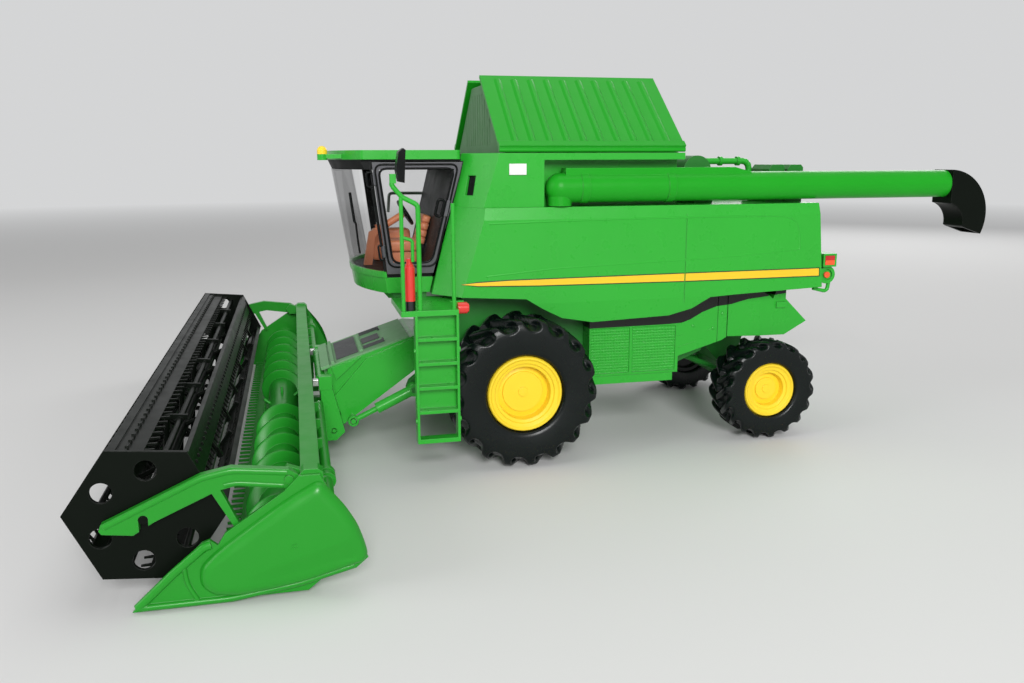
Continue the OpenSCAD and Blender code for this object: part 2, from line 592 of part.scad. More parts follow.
feeder_half = 22;
side_t = 1.2;
feeder_top = [[-72, 34.6], [-37, 46]];
panel_pts = [[-36.9, 45.4], [-56.4, 37.9], [-71.6, 20.9], [-66.5, 11.1], [-37.3, 31.9], [-27, 33],
  [-22.8, 39], [-27, 44.9]];
strip_pts = [[-58.6, 38.6], [-70.4, 34.8], [-68.8, 29.6]];
module feeder_house() color("green") {
  difference() {
    union() {
      along_x(-feeder_half + side_t, 2 * (feeder_half - side_t)) polygon([feeder_top[0], feeder_top[1], [-27, 45],
        [-22.8, 39], [-27, 33], [-37.3, 31.9], [-66.5, 11], [-72, 20.8]]);
      // Side panels, with a recess between the panel and the upper strip
      both() along_x(feeder_half - side_t - eps, side_t + eps) {
        polygon(panel_pts);
        polygon(strip_pts);
      }
    }
    along_x(-feeder_half + 2.6, 2 * feeder_half - 5.2) polygon([[-73, 33], [-40, 43.4], [-38, 34.2],
      [-66, 13.6], [-73, 13]]);
    both() x_rod(feeder_half - 3.2, 5, feeder_pivot[0], feeder_pivot[1], 1.55);
    // Rounded notch at the foot of each side panel
    both() x_rod(feeder_half - side_t, 3, -69.6, 15.2, 2.2);
  }
  // Pins for the lift rods
  both() x_rod(feeder_half - eps, lift_x + 1.6 - feeder_half, lift_pin[0], lift_pin[1], 1);
  // Front face plate with its rolled upper edge, blocks and lugs
  difference() {
    along_x(-31, 62) polygon([[-75.4, 30.6], [-72, 33.6], [-66.5, 10.6], [-70, 7.4], [-74.6, 7.4]]);
    translate([-20, -80, 13]) cube([40, 16, 18]);
    both() x_rod(29.6, 3, -70.8, 11.3, 1.2);
  }
  x_rod(-26, 52, -74.9, 31.2, 2);
  both() {
    translate([26.8, -75.8, 28.2]) cube([4.4, 5, 5.4]);
    translate([26.8, -77.6, 13]) cube([4, 2.6, 3]);
    translate([26.8, -77.6, 7.4]) cube([4, 3.2, 2.8]);
    x_rod(29.4, 1.8, -70.8, 11.3, 0.7);
  }
}
hitch_y = -78.2;
module hitch_pins() color("silver") both()
  translate([27.6, hitch_y + 0.1, 29.8]) cube([2.8, -75.8 - hitch_y - 0.2, 2.4]);

// Frame of the feeder house's sloping top: y runs up the slope from its front edge
slope_a = atan2(feeder_top[1][1] - feeder_top[0][1], feeder_top[1][0] - feeder_top[0][0]);
module on_slope() translate([0, feeder_top[0][0], feeder_top[0][1] + 0.02]) rotate([slope_a, 0, 0]) children();
cover_half_x = 20.6;
cover_t = 0.6;
rail_half = 13.4;
module feeder_cover() color([0.2, 0.45, 0.25]) on_slope() {
  translate([-cover_half_x, 1, 0]) cube([2 * cover_half_x, 34, cover_t]);
  // Stepped bands across the front
  translate([-feeder_half, -2.4, 0]) cube([2 * feeder_half, 3.6, 1.3]);
  translate([-cover_half_x, 2, cover_t - eps]) cube([2 * cover_half_x, 1.4, 1.1]);
  // Bar between the tread pads
  translate([-16.4, 14.2, cover_t - eps]) cube([32.8, 1.5, 0.7]);
}
module feeder_grip() color([0.25, 0.25, 0.26]) on_slope() translate([0, 0, cover_t]) {
  for (x = [-16, 0.3]) translate([x, 4.4, 0]) cube([15.7, 9.2, 0.5]);
  translate([-4.6, 16.2, 0]) cube([9.2, 7.6, 0.5]);
  // Handle rails with their ends turned in
  both() {
    translate([rail_half, 16.2, 0]) cube([0.8, 9, 1.3]);
    translate([rail_half - 2.2, 24.4, 0]) cube([2.4, 0.8, 1.3]);
  }
}

lift_x = 28.4;
lift_len = norm(lift_eye - lift_pin);
lift_a = atan2(lift_pin[1] - lift_eye[1], lift_eye[0] - lift_pin[0]);
module lift_frame() translate([0, lift_eye[0], lift_eye[1]]) rotate([-lift_a, 0, 0]) children();
module lift_barrels() color("green") both() lift_frame() {
  difference() {
    union() {
      x_rod(lift_x - 2, 4, 0, 0, 2.6);
      translate([lift_x, -1.6, 0]) rotate([90, 0, 0]) cylinder(h = 15, r = 2.2);
    }
    x_rod(lift_x - 3, 6, 0, 0, 1.25);
    translate([lift_x, -6, 0]) rotate([90, 0, 0]) cylinder(h = 20, r = 1.15);
  }
}
module lift_rods() color("green") both() lift_frame() {
  translate([lift_x, -7, 0]) rotate([90, 0, 0]) cylinder(h = lift_len - 7 - 1.4, r = 1.1);
  difference() {
    x_rod(lift_x - 1.2, 2.4, -lift_len, 0, 2.1);
    x_rod(lift_x - 3, 6, -lift_len, 0, 1.36);
  }
}

drive_c = [-76.3, 25];
// Places of the shaft's collars and of the last rib, in from the header's end
collar_in = [26.2, 21.8];
rib_in = 12.2;
module header_frame() color("green") {
  // Top beam with a block at each end
  translate([-header_half, beam_c - 2.6, 30]) cube([2 * header_half, 5.2, beam_top - 30]);
  both() along_x(header_half - 5, 5) polygon([[-83.5, 30], [-83.5, 34.9], [-82.6, 35.8], [-79, 35.8], [-77.6, 34.6],
    [-77.6, 30]]);
  // Back sheet and floor with an opening to the feeder
  difference() {
    along_x(-header_half, 2 * header_half) polygon([[-79.4, 30.2], [-78.2, 30.2], [-78.2, 5], [-83, 1.2], [-102, 1.2],
      [-102, 2.4], [-94, 2.4], [-86, 3.2], [-81.6, 6.6], [-79.6, 12]]);
    translate([-19, -84, 8]) cube([38, 10, 20]);
  }
  // Lugs and pins of the reel arms
  both() {
    along_x(header_half - 6, 2.4) polygon([[-83.2, 30.4], [-83.2, 34.5], [-87, 36], [-89.2, 33.2], [-87.4, 30.4]]);
    x_rod(header_half - 3.8, 3.5, arm_pivot[0], arm_pivot[1], 1.2);
  }
  // Drive shaft behind the back sheet with two round collars near its end
  both() {
    x_rod(40, header_half - 40, drive_c[0], drive_c[1], 1.6);
    for (d = collar_in) x_rod(header_half - d, 2.6, drive_c[0], drive_c[1], 2.6);
  }
  // Ribs on the back sheet
  both() for (x = [52, 74, 96, header_half - rib_in]) translate([x, -78.3, 8.3]) cube([1, 1.7, 21]);
}

sheet_t = 1.2;
crown_h = 2.5;
crown_r = 125;
sheet_pts = [[-128, 0.8], [-126.6, 2.2], [-109.6, 18.2], [-107.6, 18.9], [-105.6, 17.2],
  [-103.6, 20.4], [-88, 30.6], [-84, 34.6], [-78.6, 34.6], [-71, 19], [-66.6, 9.6], [-70, 6.8], [-85, 3.2], [-103, 0.8]];
bulge_pts = [[-109.2, 12.8], [-106, 16.8], [-98, 22.8], [-84, 31.6], [-79.4, 33.2], [-75.6, 27], [-70.6, 18.6],
  [-67.4, 11.2], [-68.4, 9.6], [-78, 6.2], [-92, 4.2], [-104, 4.4], [-108, 5.8], [-110.2, 8.6], [-110.2, 11]];
divider_pts = [[-126.8, 0.9], [-126, 2.6], [-110, 17.4], [-107.8, 18.3], [-106.2, 16.9], [-108.6, 14.6], [-124, 1]];
module header_end() {
  along_x(header_half, sheet_t) polygon(sheet_pts);
  // Crowned outer face: its outline cut from a large ball
  intersection() {
    along_x(header_half + sheet_t - eps, crown_h + 1) polygon(bulge_pts);
    translate([header_half + sheet_t + crown_h - crown_r, -89, 17.6]) sphere(r = crown_r, $fn = 360);
  }
  // Raised edge of the crop divider
  along_x(header_half - 1, sheet_t + 2.2) polygon(divider_pts);
}
module header_ends() color("green") both() {
  header_end();
  x_rod(header_half - 4, 4 + eps, auger_c[0], auger_c[1], 1.5);
}

module knife_bar() color("green") {
  n = floor((header_half - 2) / finger_pitch);
  translate([-header_half, -103.4, 2.4]) cube([2 * header_half, 5, 0.8]);
  translate([-header_half, -100.6, 3.2 - eps]) cube([2 * header_half, 1.4, 0.3]);
  for (i = [-n : n]) translate([i * finger_pitch, 0, 2.4])
    linear_extrude(0.8) polygon([[-0.8, -103.3], [0.8, -103.3], [0.3, -107.4], [-0.3, -107.4]]);
}

// Half turns of a flight: slabs set askew in alternation, which meet at the flight's edge
flight_t = 1.9;
flight_in = 21;
flight_a = atan(flight_pitch / (4 * auger_r));
half_turns = floor(2 * (header_half - 9 - flight_in) / flight_pitch);
module flights() intersection() {
  rotate([0, 90, 0]) cylinder(h = header_half - 4, r = auger_r);
  for (i = [0 : half_turns - 1]) translate([flight_in + (i + 0.5) * flight_pitch / 2, 0, 0])
    rotate([i % 2 * 180 + flight_phase, 0, 0]) rotate([0, flight_a, 0])
      translate([-flight_t / 2, -0.05, -15]) cube([flight_t, 15, 30]);
}
flight_phase = 30;
module cross_auger() color("green") translate([0, auger_c[0], auger_c[1]]) {
  difference() {
    x_rod(-header_half + 1, 2 * header_half - 2, 0, 0, auger_tube_r);
    both() x_rod(header_half - 4.5, 5, 0, 0, 1.5 + axle_clear);
  }
  both() flights();
  // Retracting fingers in the middle
  for (i = [-3 : 3]) rotate([i * 52, 0, 0]) translate([i * 5.4, 0, 0]) cylinder(h = auger_r - 0.4, r = 0.6);
}

arm_x = header_half - 3;
module reel_arms() color("green") both() difference() {
  along_x(arm_x, 2.4) polygon([[-134.6, 23.4], [-134, 25], [-109, 36.3], [-101.2, 37.8], [-86.6, 36],
    [-84.2, 34.4], [-84.2, 31.6], [-86.6, 30.6], [-100, 32.6], [-104.2, 31.8], [-99.8, 21.6], [-101.2, 21],
    [-106.4, 31], [-121, 24.6], [-126.4, 21.4], [-134, 22.4]]);
  x_rod(arm_x - 1, 5, arm_pivot[0], arm_pivot[1], 1.25);
  x_rod(arm_x - 1, 5, reel_c[0], reel_c[1], 1.25);
  // The reel's axle is laid into a slot that's open below
  translate([arm_x - 1, reel_c[0] - 1.2, reel_c[1] - 6]) cube([5, 2.4, 6]);
}

// Side profile of the reel, seen with one side of its hexagon on top
side_h = reel_r * cos(30);
hole_at = 12.4;
hole_r = 2.8;
tine_pts = [[-5.8, side_h - 1.5], [-5.8, side_h - 0.1], [-4.9, side_h - 0.1], [-4.6, side_h - 1.15],
  [-1.2, side_h - 1.15], [1.5, side_h - 0.9], [1.6, side_h - 1.4], [-1.2, side_h - 1.9]];
// Places of the spiders that carry the bats
spiders = [for (i = [-2.5 : 2.5]) i * 39.4];
module reel() color([0.1, 0.1, 0.1]) translate([0, reel_c[0], reel_c[1]]) rotate([-reel_turn, 0, 0]) {
  plate = arm_x - 0.6;
  for (s = [-1, 1]) translate([s * (plate - 0.6) - 0.6, 0, 0]) rotate([90, 0, 90]) linear_extrude(1.2) difference() {
    circle(r = reel_r, $fn = 6);
    for (a = [0 : 60 : 300]) rotate(a + 30) translate([hole_at, 0]) circle(r = hole_r, $fn = 24);
  }
  x_rod(-plate, 2 * plate, 0, 0, 2.2);
  for (s = [-1, 1]) x_rod(s * (plate + 1.3) - 1.4, 2.8, 0, 0, 1.2);
  n = floor((plate - 3) / tine_pitch);
  for (a = [0 : 60 : 300]) rotate([a, 0, 0]) {
    // A bat: its lip, its plate, the sunk board of the tines and its tube
    translate([0.8 - plate, -9.7, side_h - 1.8]) cube([2 * plate - 1.6, 2.2, 1.8]);
    translate([0.8 - plate, -7.6, side_h - 1.2]) cube([2 * plate - 1.6, 2.6, 0.7]);
    translate([0.8 - plate, -5.2, side_h - 1.9]) cube([2 * plate - 1.6, 4.2, 0.9]);
    x_rod(0.8 - plate, 2 * plate - 1.6, 3.8, side_h - 3.5, 0.9);
    for (i = [-n : n]) along_x(i * tine_pitch - 0.3, 0.6) polygon(tine_pts);
    for (x = spiders) {
      translate([x - 0.5, -7, side_h - 3.4]) cube([1, 13, 1.6]);
      translate([x, 0, 1]) cylinder(h = side_h - 3, r = 0.8);
    }
  }
}

module place() translate([0, -mid_y, 0]) children();
place() body_shell();
place() grain_tank();
place() tank_screens();
place() lid_left();
place() lid_right();
place() chassis();
place() side_covers();
place() straw_chopper();
place() deck_boxes();
place() exhaust();
place() tail_lamps();
place() side_lamps();
place() cab_base();
place() cab_frame();
place() cab_roof();
place() cab_glass();
place() beacon();
place() seat();
place() steering_wheel();
place() door_frame();
place() door_glass();
place() platform();
place() ladder();
place() handrails();
place() mirrors();
place() extinguisher();
place() step_lamp();
place() beacon_bracket();
place() tail_lenses();
place() unloading_tube();
place() spout();
place() front_axle();
place() rear_axle();
place() knuckle_left();
place() knuckle_right();
place() tyre_front_left();
place() tyre_front_right();
place() tyre_rear_left();
place() tyre_rear_right();
place() rim_front_left();
place() rim_front_right();
place() rim_rear_left();
place() rim_rear_right();
place() feeder_house();
place() feeder_cover();
place() feeder_grip();
place() lift_barrels();
place() lift_rods();
place() header_frame();
place() hitch_pins();
place() header_ends();
place() knife_bar();
place() cross_auger();
place() reel_arms();
place() reel();
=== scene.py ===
"""Looks of a 1:32 toy combine harvester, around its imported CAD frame.

Places are given in millimetres in the machine's own frame, as the part's source gives them: x from
the centre plane towards the machine's left, y back from the front axle, z up from the ground.
place() turns them into metres in the row frame.
"""
import json
import math

import bmesh
import bpy
import numpy as np
from mathutils import Matrix, Vector


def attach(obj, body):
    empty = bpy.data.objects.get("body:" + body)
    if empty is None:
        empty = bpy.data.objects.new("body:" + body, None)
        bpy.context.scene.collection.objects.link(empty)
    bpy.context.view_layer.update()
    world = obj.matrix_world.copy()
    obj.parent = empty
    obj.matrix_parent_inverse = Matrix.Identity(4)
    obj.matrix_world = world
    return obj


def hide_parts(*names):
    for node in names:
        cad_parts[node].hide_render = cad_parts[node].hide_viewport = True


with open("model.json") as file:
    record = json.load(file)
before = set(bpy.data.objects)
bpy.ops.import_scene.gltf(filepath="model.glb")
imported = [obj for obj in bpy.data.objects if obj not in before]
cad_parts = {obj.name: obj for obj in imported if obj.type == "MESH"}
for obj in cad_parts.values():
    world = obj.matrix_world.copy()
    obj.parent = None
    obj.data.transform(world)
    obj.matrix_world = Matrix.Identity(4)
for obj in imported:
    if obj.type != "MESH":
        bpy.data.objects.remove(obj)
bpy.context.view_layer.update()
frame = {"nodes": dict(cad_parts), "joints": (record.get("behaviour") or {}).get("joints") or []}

JOINTS = {joint["name"]: joint for joint in frame["joints"]}
AXLE_Y = JOINTS["wheel_front_left_spin"]["pos_m"][1] * 1000
NODES = frame["nodes"]


# Places and sizes shared with the part, in millimetres

FRONT_WHEEL = {"y": 0.0, "z": 29.0, "face": 61.2, "r": 29.0, "w": 25.0, "rim": 14.6, "lug": 2.6}
REAR_WHEEL = {"y": 108.4, "z": 20.9, "face": 50.8, "r": 20.9, "w": 18.0, "rim": 11.4, "lug": 2.08}
LUGS = 18
BODY_HALF = 50.0
COVER_HALF = 42.0
CAB_HALF = 36.0
TANK_HALF = 48.0
HEADER_HALF = 144.2
AUGER = {"y": -90.6, "z": 13.6, "tube": 6.2, "flight": 9.8, "pitch": 19.6, "inner": 21.0, "outer": 138.0,
         "start": -60.0}


def place(points):
    """Machine frame in millimetres to row frame in metres: y is shifted by the front axle's place."""
    moved = np.array(points, float).reshape(-1, 3)
    moved[:, 1] += AXLE_Y
    return moved / 1000.0


# Camera, light and stage

PHOTO_W, PHOTO_H = 1024, 683
FOCAL_PX = 892.7
CAMERA_AT = (376.67, -81.41, 116.96)
CAMERA_YAW, CAMERA_PITCH, CAMERA_ROLL = 13.51, 11.65, -0.19
FLOOR_COLOUR = (0.74, 0.74, 0.735)
BACKDROP_COLOUR = (0.66, 0.665, 0.67)
AMBIENT = 0.24
FLOOR_RINGS = (0.001, 1.0, 3.0, 9.0)
FADE_FROM, FADE_TO = 0.7, 2.2


def make_camera():
    """Pinhole camera at the photograph's place. It looks towards -x, turned to +y by the yaw and down by
    the pitch."""
    data = bpy.data.cameras.new("photo_camera")
    data.sensor_fit = "HORIZONTAL"
    data.sensor_width = 36.0
    data.lens = FOCAL_PX / PHOTO_W * data.sensor_width
    data.clip_start, data.clip_end = 0.01, 50.0
    camera = bpy.data.objects.new("photo_camera", data)
    yaw, pitch = math.radians(CAMERA_YAW), math.radians(CAMERA_PITCH)
    ahead = Vector((-math.cos(yaw) * math.cos(pitch), math.sin(yaw) * math.cos(pitch), -math.sin(pitch)))
    turn = ahead.to_track_quat("-Z", "Y").to_matrix().to_4x4()
    camera.matrix_world = (Matrix.Translation(place([CAMERA_AT])[0]) @ turn
                           @ Matrix.Rotation(math.radians(CAMERA_ROLL), 4, "Z"))
    bpy.context.scene.collection.objects.link(camera)
    bpy.context.scene.camera = camera


def area_light(name, at, towards, size, power):
    """Square soft box of the given size in metres, aimed at a point."""
    data = bpy.data.lights.new(name, "AREA")
    data.shape, data.size, data.energy = "SQUARE", size, power
    lamp = bpy.data.objects.new(name, data)
    lamp.location = at
    lamp.rotation_euler = (Vector(towards) - Vector(at)).to_track_quat("-Z", "Y").to_euler()
    bpy.context.scene.collection.objects.link(lamp)


def make_lights():
    """Soft key from the camera's side and above, a wide top box, and low fills from front and back."""
    aim = (0.0, 0.0, 0.06)
    area_light("key_box", (1.22, -0.10, 0.56), aim, 0.46, 14.0)
    area_light("top_box", (-0.05, 0.10, 1.1), aim, 0.9, 2.6)
    area_light("front_fill", (0.2, -1.0, 0.45), aim, 0.6, 2.6)
    area_light("back_fill", (-0.8, 0.75, 0.55), aim, 0.6, 3.2)


def seen_directly(tree):
    """1 where a camera, glossy or transmission ray arrives, else 0."""
    path = tree.nodes.new("ShaderNodeLightPath")
    either = math_node(tree, "MAXIMUM", path.outputs["Is Camera Ray"], path.outputs["Is Glossy Ray"])
    return math_node(tree, "MAXIMUM", either, path.outputs["Is Transmission Ray"])


def make_world():
    """Pale backdrop where the camera, gloss and glass see it, and a dimmer even light for the rest."""
    world = bpy.data.worlds.new("studio")
    bpy.context.scene.world = world
    world.use_nodes = True
    tree = world.node_tree
    tree.nodes.clear()
    out, mix = tree.nodes.new("ShaderNodeOutputWorld"), tree.nodes.new("ShaderNodeMixShader")
    dim, seen = tree.nodes.new("ShaderNodeBackground"), tree.nodes.new("ShaderNodeBackground")
    dim.inputs["Color"].default_value = (1, 1, 1, 1)
    dim.inputs["Strength"].default_value = AMBIENT
    seen.inputs["Color"].default_value = (*BACKDROP_COLOUR, 1)
    tree.links.new(seen_directly(tree), mix.inputs["Fac"])
    tree.links.new(dim.outputs[0], mix.inputs[1])
    tree.links.new(seen.outputs[0], mix.inputs[2])
    tree.links.new(mix.outputs[0], out.inputs["Surface"])


def make_floor():
    """Round flat floor that fades into the backdrop's colour between two distances from the object."""
    angle = np.linspace(0, 2 * math.pi, 64, endpoint=False)
    radius = np.array(FLOOR_RINGS)[:, None]
    grid = np.stack([radius * np.cos(angle), radius * np.sin(angle), 0 * radius * angle], axis=-1)
    verts, faces = grid_mesh(grid, wrap_v=True)
    faces.append(list(range(len(angle))))
    mesh = bpy.data.meshes.new("floor")
    mesh.from_pydata(verts.tolist(), [], faces)
    mesh.update()
    floor = bpy.data.objects.new("floor", mesh)
    bpy.context.scene.collection.objects.link(floor)
    material = bpy.data.materials.new("pale_floor")
    material.use_nodes = True
    tree = material.node_tree
    shader, out = tree.nodes["Principled BSDF"], tree.nodes["Material Output"]
    shader.inputs["Base Color"].default_value = (*FLOOR_COLOUR, 1)
    shader.inputs["Roughness"].default_value = 0.8
    shader.inputs["Specular IOR Level"].default_value = 0.1
    far = tree.nodes.new("ShaderNodeEmission")
    far.inputs["Color"].default_value = (*BACKDROP_COLOUR, 1)
    length = tree.nodes.new("ShaderNodeVectorMath")
    length.operation = "LENGTH"
    tree.links.new(tree.nodes.new("ShaderNodeTexCoord").outputs["Object"], length.inputs[0])
    fade = ranged(tree, length.outputs["Value"], 0.0, 1.0, FADE_FROM, FADE_TO)
    mix = tree.nodes.new("ShaderNodeMixShader")
    tree.links.new(math_node(tree, "MULTIPLY", fade, seen_directly(tree)), mix.inputs["Fac"])
    tree.links.new(shader.outputs[0], mix.inputs[1])
    tree.links.new(far.outputs[0], mix.inputs[2])
    tree.links.new(mix.outputs[0], out.inputs["Surface"])
    mesh.materials.append(material)


# Shapes, as (vertices in millimetres in the machine frame, faces)

def grid_mesh(grid, wrap_u=False, wrap_v=False):
    """Quads between neighbours on a (u, v) grid of points, joined round where a direction wraps."""
    rows, columns = grid.shape[:2]
    index = np.arange(rows * columns).reshape(rows, columns)
    if wrap_u:
        index = np.vstack([index, index[:1]])
    if wrap_v:
        index = np.hstack([index, index[:, :1]])
    quads = np.stack([index[:-1, :-1], index[1:, :-1], index[1:, 1:], index[:-1, 1:]], axis=-1)
    return grid.reshape(-1, 3), quads.reshape(-1, 4).tolist()


def joined(parts):
    """Several shapes as one: vertices end to end, face numbers shifted by those before."""
    verts, faces, start = [], [], 0
    for points, polygons in parts:
        verts.append(points)
        faces += [[i + start for i in polygon] for polygon in polygons]
        start += len(points)
    return np.vstack(verts), faces


def frames_along(path):
    """Two unit vectors square to the path at each point, carried along with the least turning."""
    step = np.gradient(path, axis=0)
    ahead = step / np.linalg.norm(step, axis=1)[:, None]
    side = np.cross(ahead[0], (0.0, 0.0, 1.0) if abs(ahead[0][2]) < 0.9 else (1.0, 0.0, 0.0))
    sides = []
    for direction in ahead:
        side = side - direction * (side @ direction)
        side = side / np.linalg.norm(side)
        sides.append(side)
    sides = np.array(sides)
    return sides, np.cross(ahead, sides)


def circles(path, radius, side, up, count):
    """Grid of circles along a path: point = path + radius (cos a side + sin a up), radius may vary."""
    angle = np.linspace(0, 2 * math.pi, count, endpoint=False)[None, :, None]
    ring = np.cos(angle) * side[:, None, :] + np.sin(angle) * up[:, None, :]
    return path[:, None, :] + np.reshape(radius, (-1, 1, 1)) * ring


def tube(path, radius, count):
    """Round rod along a path, its circles of count points, closed at both ends."""
    path = np.array(path, float)
    verts, faces = grid_mesh(circles(path, radius, *frames_along(path), count), wrap_v=True)
    faces = [face[::-1] for face in faces]
    last = (len(path) - 1) * count
    faces += [list(range(count)), [last + i for i in range(count)][::-1]]
    return verts, faces


def rounded_path(corners, bend, steps=5):
    """Polyline whose inner corners are rounded by quadratic curves between points that lie bend away."""
    corners = [np.array(corner, float) for corner in corners]
    path = [corners[0]]
    for before, corner, after in zip(corners, corners[1:], corners[2:]):
        to_before = before - corner
        to_after = after - corner
        reach = min(bend, 0.48 * np.linalg.norm(to_before), 0.48 * np.linalg.norm(to_after))
        start = corner + to_before / np.linalg.norm(to_before) * reach
        end = corner + to_after / np.linalg.norm(to_after) * reach
        for t in np.linspace(0, 1, steps):
            path.append((1 - t) ** 2 * start + 2 * t * (1 - t) * corner + t ** 2 * end)
    path.append(corners[-1])
    return np.array(path)


def lathe(profile, centre, turns):
    """Profile of (distance along x, radius) turned about a line along x through centre."""
    profile = np.array(profile, float)
    angle = np.linspace(0, 2 * math.pi, turns, endpoint=False)
    grid = np.empty((len(profile), turns, 3))
    grid[..., 0] = centre[0] + profile[:, :1]
    grid[..., 1] = centre[1] + profile[:, 1:] * np.cos(angle)[None, :]
    grid[..., 2] = centre[2] + profile[:, 1:] * np.sin(angle)[None, :]
    return grid_mesh(grid, wrap_v=True)


def dome(rings, count):
    """Rings of (height, radius) round an axis, as three arrays: height, radius cos a and radius sin a."""
    turn = np.linspace(0, 2 * math.pi, count, endpoint=False)
    height, radius = np.array(rings).T[:, :, None]
    return height + 0 * turn, radius * np.cos(turn), radius * np.sin(turn)


def slab(outline, x0, x1):
    """Outline of (y, z) points extruded along x from x0 to x1, closed at both ends."""
    count = len(outline)
    verts = np.array([(x, y, z) for x in (x0, x1) for y, z in outline], float)
    faces = [list(range(count))[::-1], [count + i for i in range(count)]]
    faces += [[i, (i + 1) % count, count + (i + 1) % count, count + i] for i in range(count)]
    return verts, faces


def mirrored(shape):
    """The same shape on the machine's other side, with its faces turned to point outwards again."""
    verts, faces = shape
    return verts * (-1, 1, 1), [face[::-1] for face in faces]


def both_sides(shape):
    """A shape on the left side and its mirror image on the right, as one."""
    return joined([shape, mirrored(shape)])


# Node groups and materials

UNEVEN = 0.08
EDGE_RADIUS = 0.00025


def new_group(name, inputs, outputs):
    """Shader node group with named sockets; returns the tree, its input node and its output node."""
    tree = bpy.data.node_groups.new(name, "ShaderNodeTree")
    for label, kind, value in inputs:
        socket = tree.interface.new_socket(name=label, in_out="INPUT", socket_type=kind)
        socket.default_value = value
    for label, kind in outputs:
        tree.interface.new_socket(name=label, in_out="OUTPUT", socket_type=kind)
    return tree, tree.nodes.new("NodeGroupInput"), tree.nodes.new("NodeGroupOutput")


def feed(tree, socket, value):
    """Sets a socket to a colour or a number, or links another socket to it."""
    if isinstance(value, tuple):
        socket.default_value = (*value, 1)
    elif isinstance(value, (int, float)):
        socket.default_value = value
    else:
        tree.links.new(value, socket)


def object_noise(tree, scale, detail, stretch=None):
    """Noise on Object coordinates."""
    coords = tree.nodes.new("ShaderNodeTexCoord")
    noise = tree.nodes.new("ShaderNodeTexNoise")
    noise.inputs["Detail"].default_value = detail
    source = coords.outputs["Object"]
    if stretch:
        mapping = tree.nodes.new("ShaderNodeMapping")
        mapping.inputs["Scale"].default_value = stretch
        tree.links.new(source, mapping.inputs["Vector"])
        source = mapping.outputs["Vector"]
    tree.links.new(source, noise.inputs["Vector"])
    feed(tree, noise.inputs["Scale"], scale)
    return noise.outputs["Fac"]


def ranged(tree, value, low, high, from_low=0.35, from_high=0.65):
    """Value from one range carried to another, clamped."""
    node = tree.nodes.new("ShaderNodeMapRange")
    node.inputs["From Min"].default_value, node.inputs["From Max"].default_value = from_low, from_high
    tree.links.new(value, node.inputs["Value"])
    feed(tree, node.inputs["To Min"], low)
    feed(tree, node.inputs["To Max"], high)
    return node.outputs["Result"]


def math_node(tree, operation, a, b=0.0, clamp=False):
    """One operation on two values."""
    node = tree.nodes.new("ShaderNodeMath")
    node.operation, node.use_clamp = operation, clamp
    feed(tree, node.inputs[0], a)
    feed(tree, node.inputs[1], b)
    return node.outputs[0]


def mixed(tree, fac, a, b):
    """Colour a turned to colour b by fac. The node's colour sockets are its inputs 6 and 7, its output 2."""
    node = tree.nodes.new("ShaderNodeMix")
    node.data_type = "RGBA"
    for number, value in ((0, fac), (6, a), (7, b)):
        feed(tree, node.inputs[number], value)
    return node.outputs[2]


def moulded_group():
    """Moulded plastic: faint mottling of the colour, uneven gloss, orange peel, and rounded edges
    made paler, partly as wear and partly as a painted highlight."""
    tree, given, result = new_group("moulded_plastic", [
        ("Color", "NodeSocketColor", (0.5, 0.5, 0.5, 1)), ("Mottle", "NodeSocketFloat", 0.08),
        ("Roughness", "NodeSocketFloat", 0.3), ("Uneven", "NodeSocketFloat", UNEVEN),
        ("Peel", "NodeSocketFloat", 0.1), ("Peel Scale", "NodeSocketFloat", 900.0),
        ("Edge Radius", "NodeSocketFloat", EDGE_RADIUS), ("Edge Wear And Sheen", "NodeSocketFloat", 0.25),
    ], [("Color", "NodeSocketColor"), ("Roughness", "NodeSocketFloat"), ("Normal", "NodeSocketVector")])
    broad = object_noise(tree, 38.0, 4.0)
    darker = tree.nodes.new("ShaderNodeHueSaturation")
    tree.links.new(given.outputs["Color"], darker.inputs["Color"])
    shade = ranged(tree, broad, math_node(tree, "SUBTRACT", 1.0, given.outputs["Mottle"]), 1.0)
    tree.links.new(shade, darker.inputs["Value"])
    bevel = tree.nodes.new("ShaderNodeBevel")
    bevel.samples = 6
    tree.links.new(given.outputs["Edge Radius"], bevel.inputs["Radius"])
    geometry = tree.nodes.new("ShaderNodeNewGeometry")
    facing = tree.nodes.new("ShaderNodeVectorMath")
    facing.operation = "DOT_PRODUCT"
    tree.links.new(bevel.outputs[0], facing.inputs[0])
    tree.links.new(geometry.outputs["Normal"], facing.inputs[1])
    # Edges turn paler in patches: partly wear, partly a painted highlight on the rounded edges
    edge = ranged(tree, facing.outputs["Value"], 1.0, 0.0, 0.86, 0.985)
    patchy = ranged(tree, object_noise(tree, 420.0, 2.0), 0.3, 1.0)
    patches = math_node(tree, "MULTIPLY", edge, patchy)
    worn_and_lit = math_node(tree, "MULTIPLY", patches, given.outputs["Edge Wear And Sheen"], clamp=True)
    pale = mixed(tree, 0.35, given.outputs["Color"], (1.0, 1.0, 1.0))
    tree.links.new(mixed(tree, worn_and_lit, darker.outputs[0], pale), result.inputs["Color"])
    uneven = ranged(tree, object_noise(tree, 160.0, 4.0), 0.0, given.outputs["Uneven"])
    rough = math_node(tree, "ADD", given.outputs["Roughness"], uneven, clamp=True)
    tree.links.new(rough, result.inputs["Roughness"])
    bump = tree.nodes.new("ShaderNodeBump")
    bump.inputs["Distance"].default_value = 0.00006
    tree.links.new(given.outputs["Peel"], bump.inputs["Strength"])
    tree.links.new(object_noise(tree, given.outputs["Peel Scale"], 2.0), bump.inputs["Height"])
    tree.links.new(bevel.outputs[0], bump.inputs["Normal"])
    tree.links.new(bump.outputs[0], result.inputs["Normal"])
    return tree


MOULDED = moulded_group()


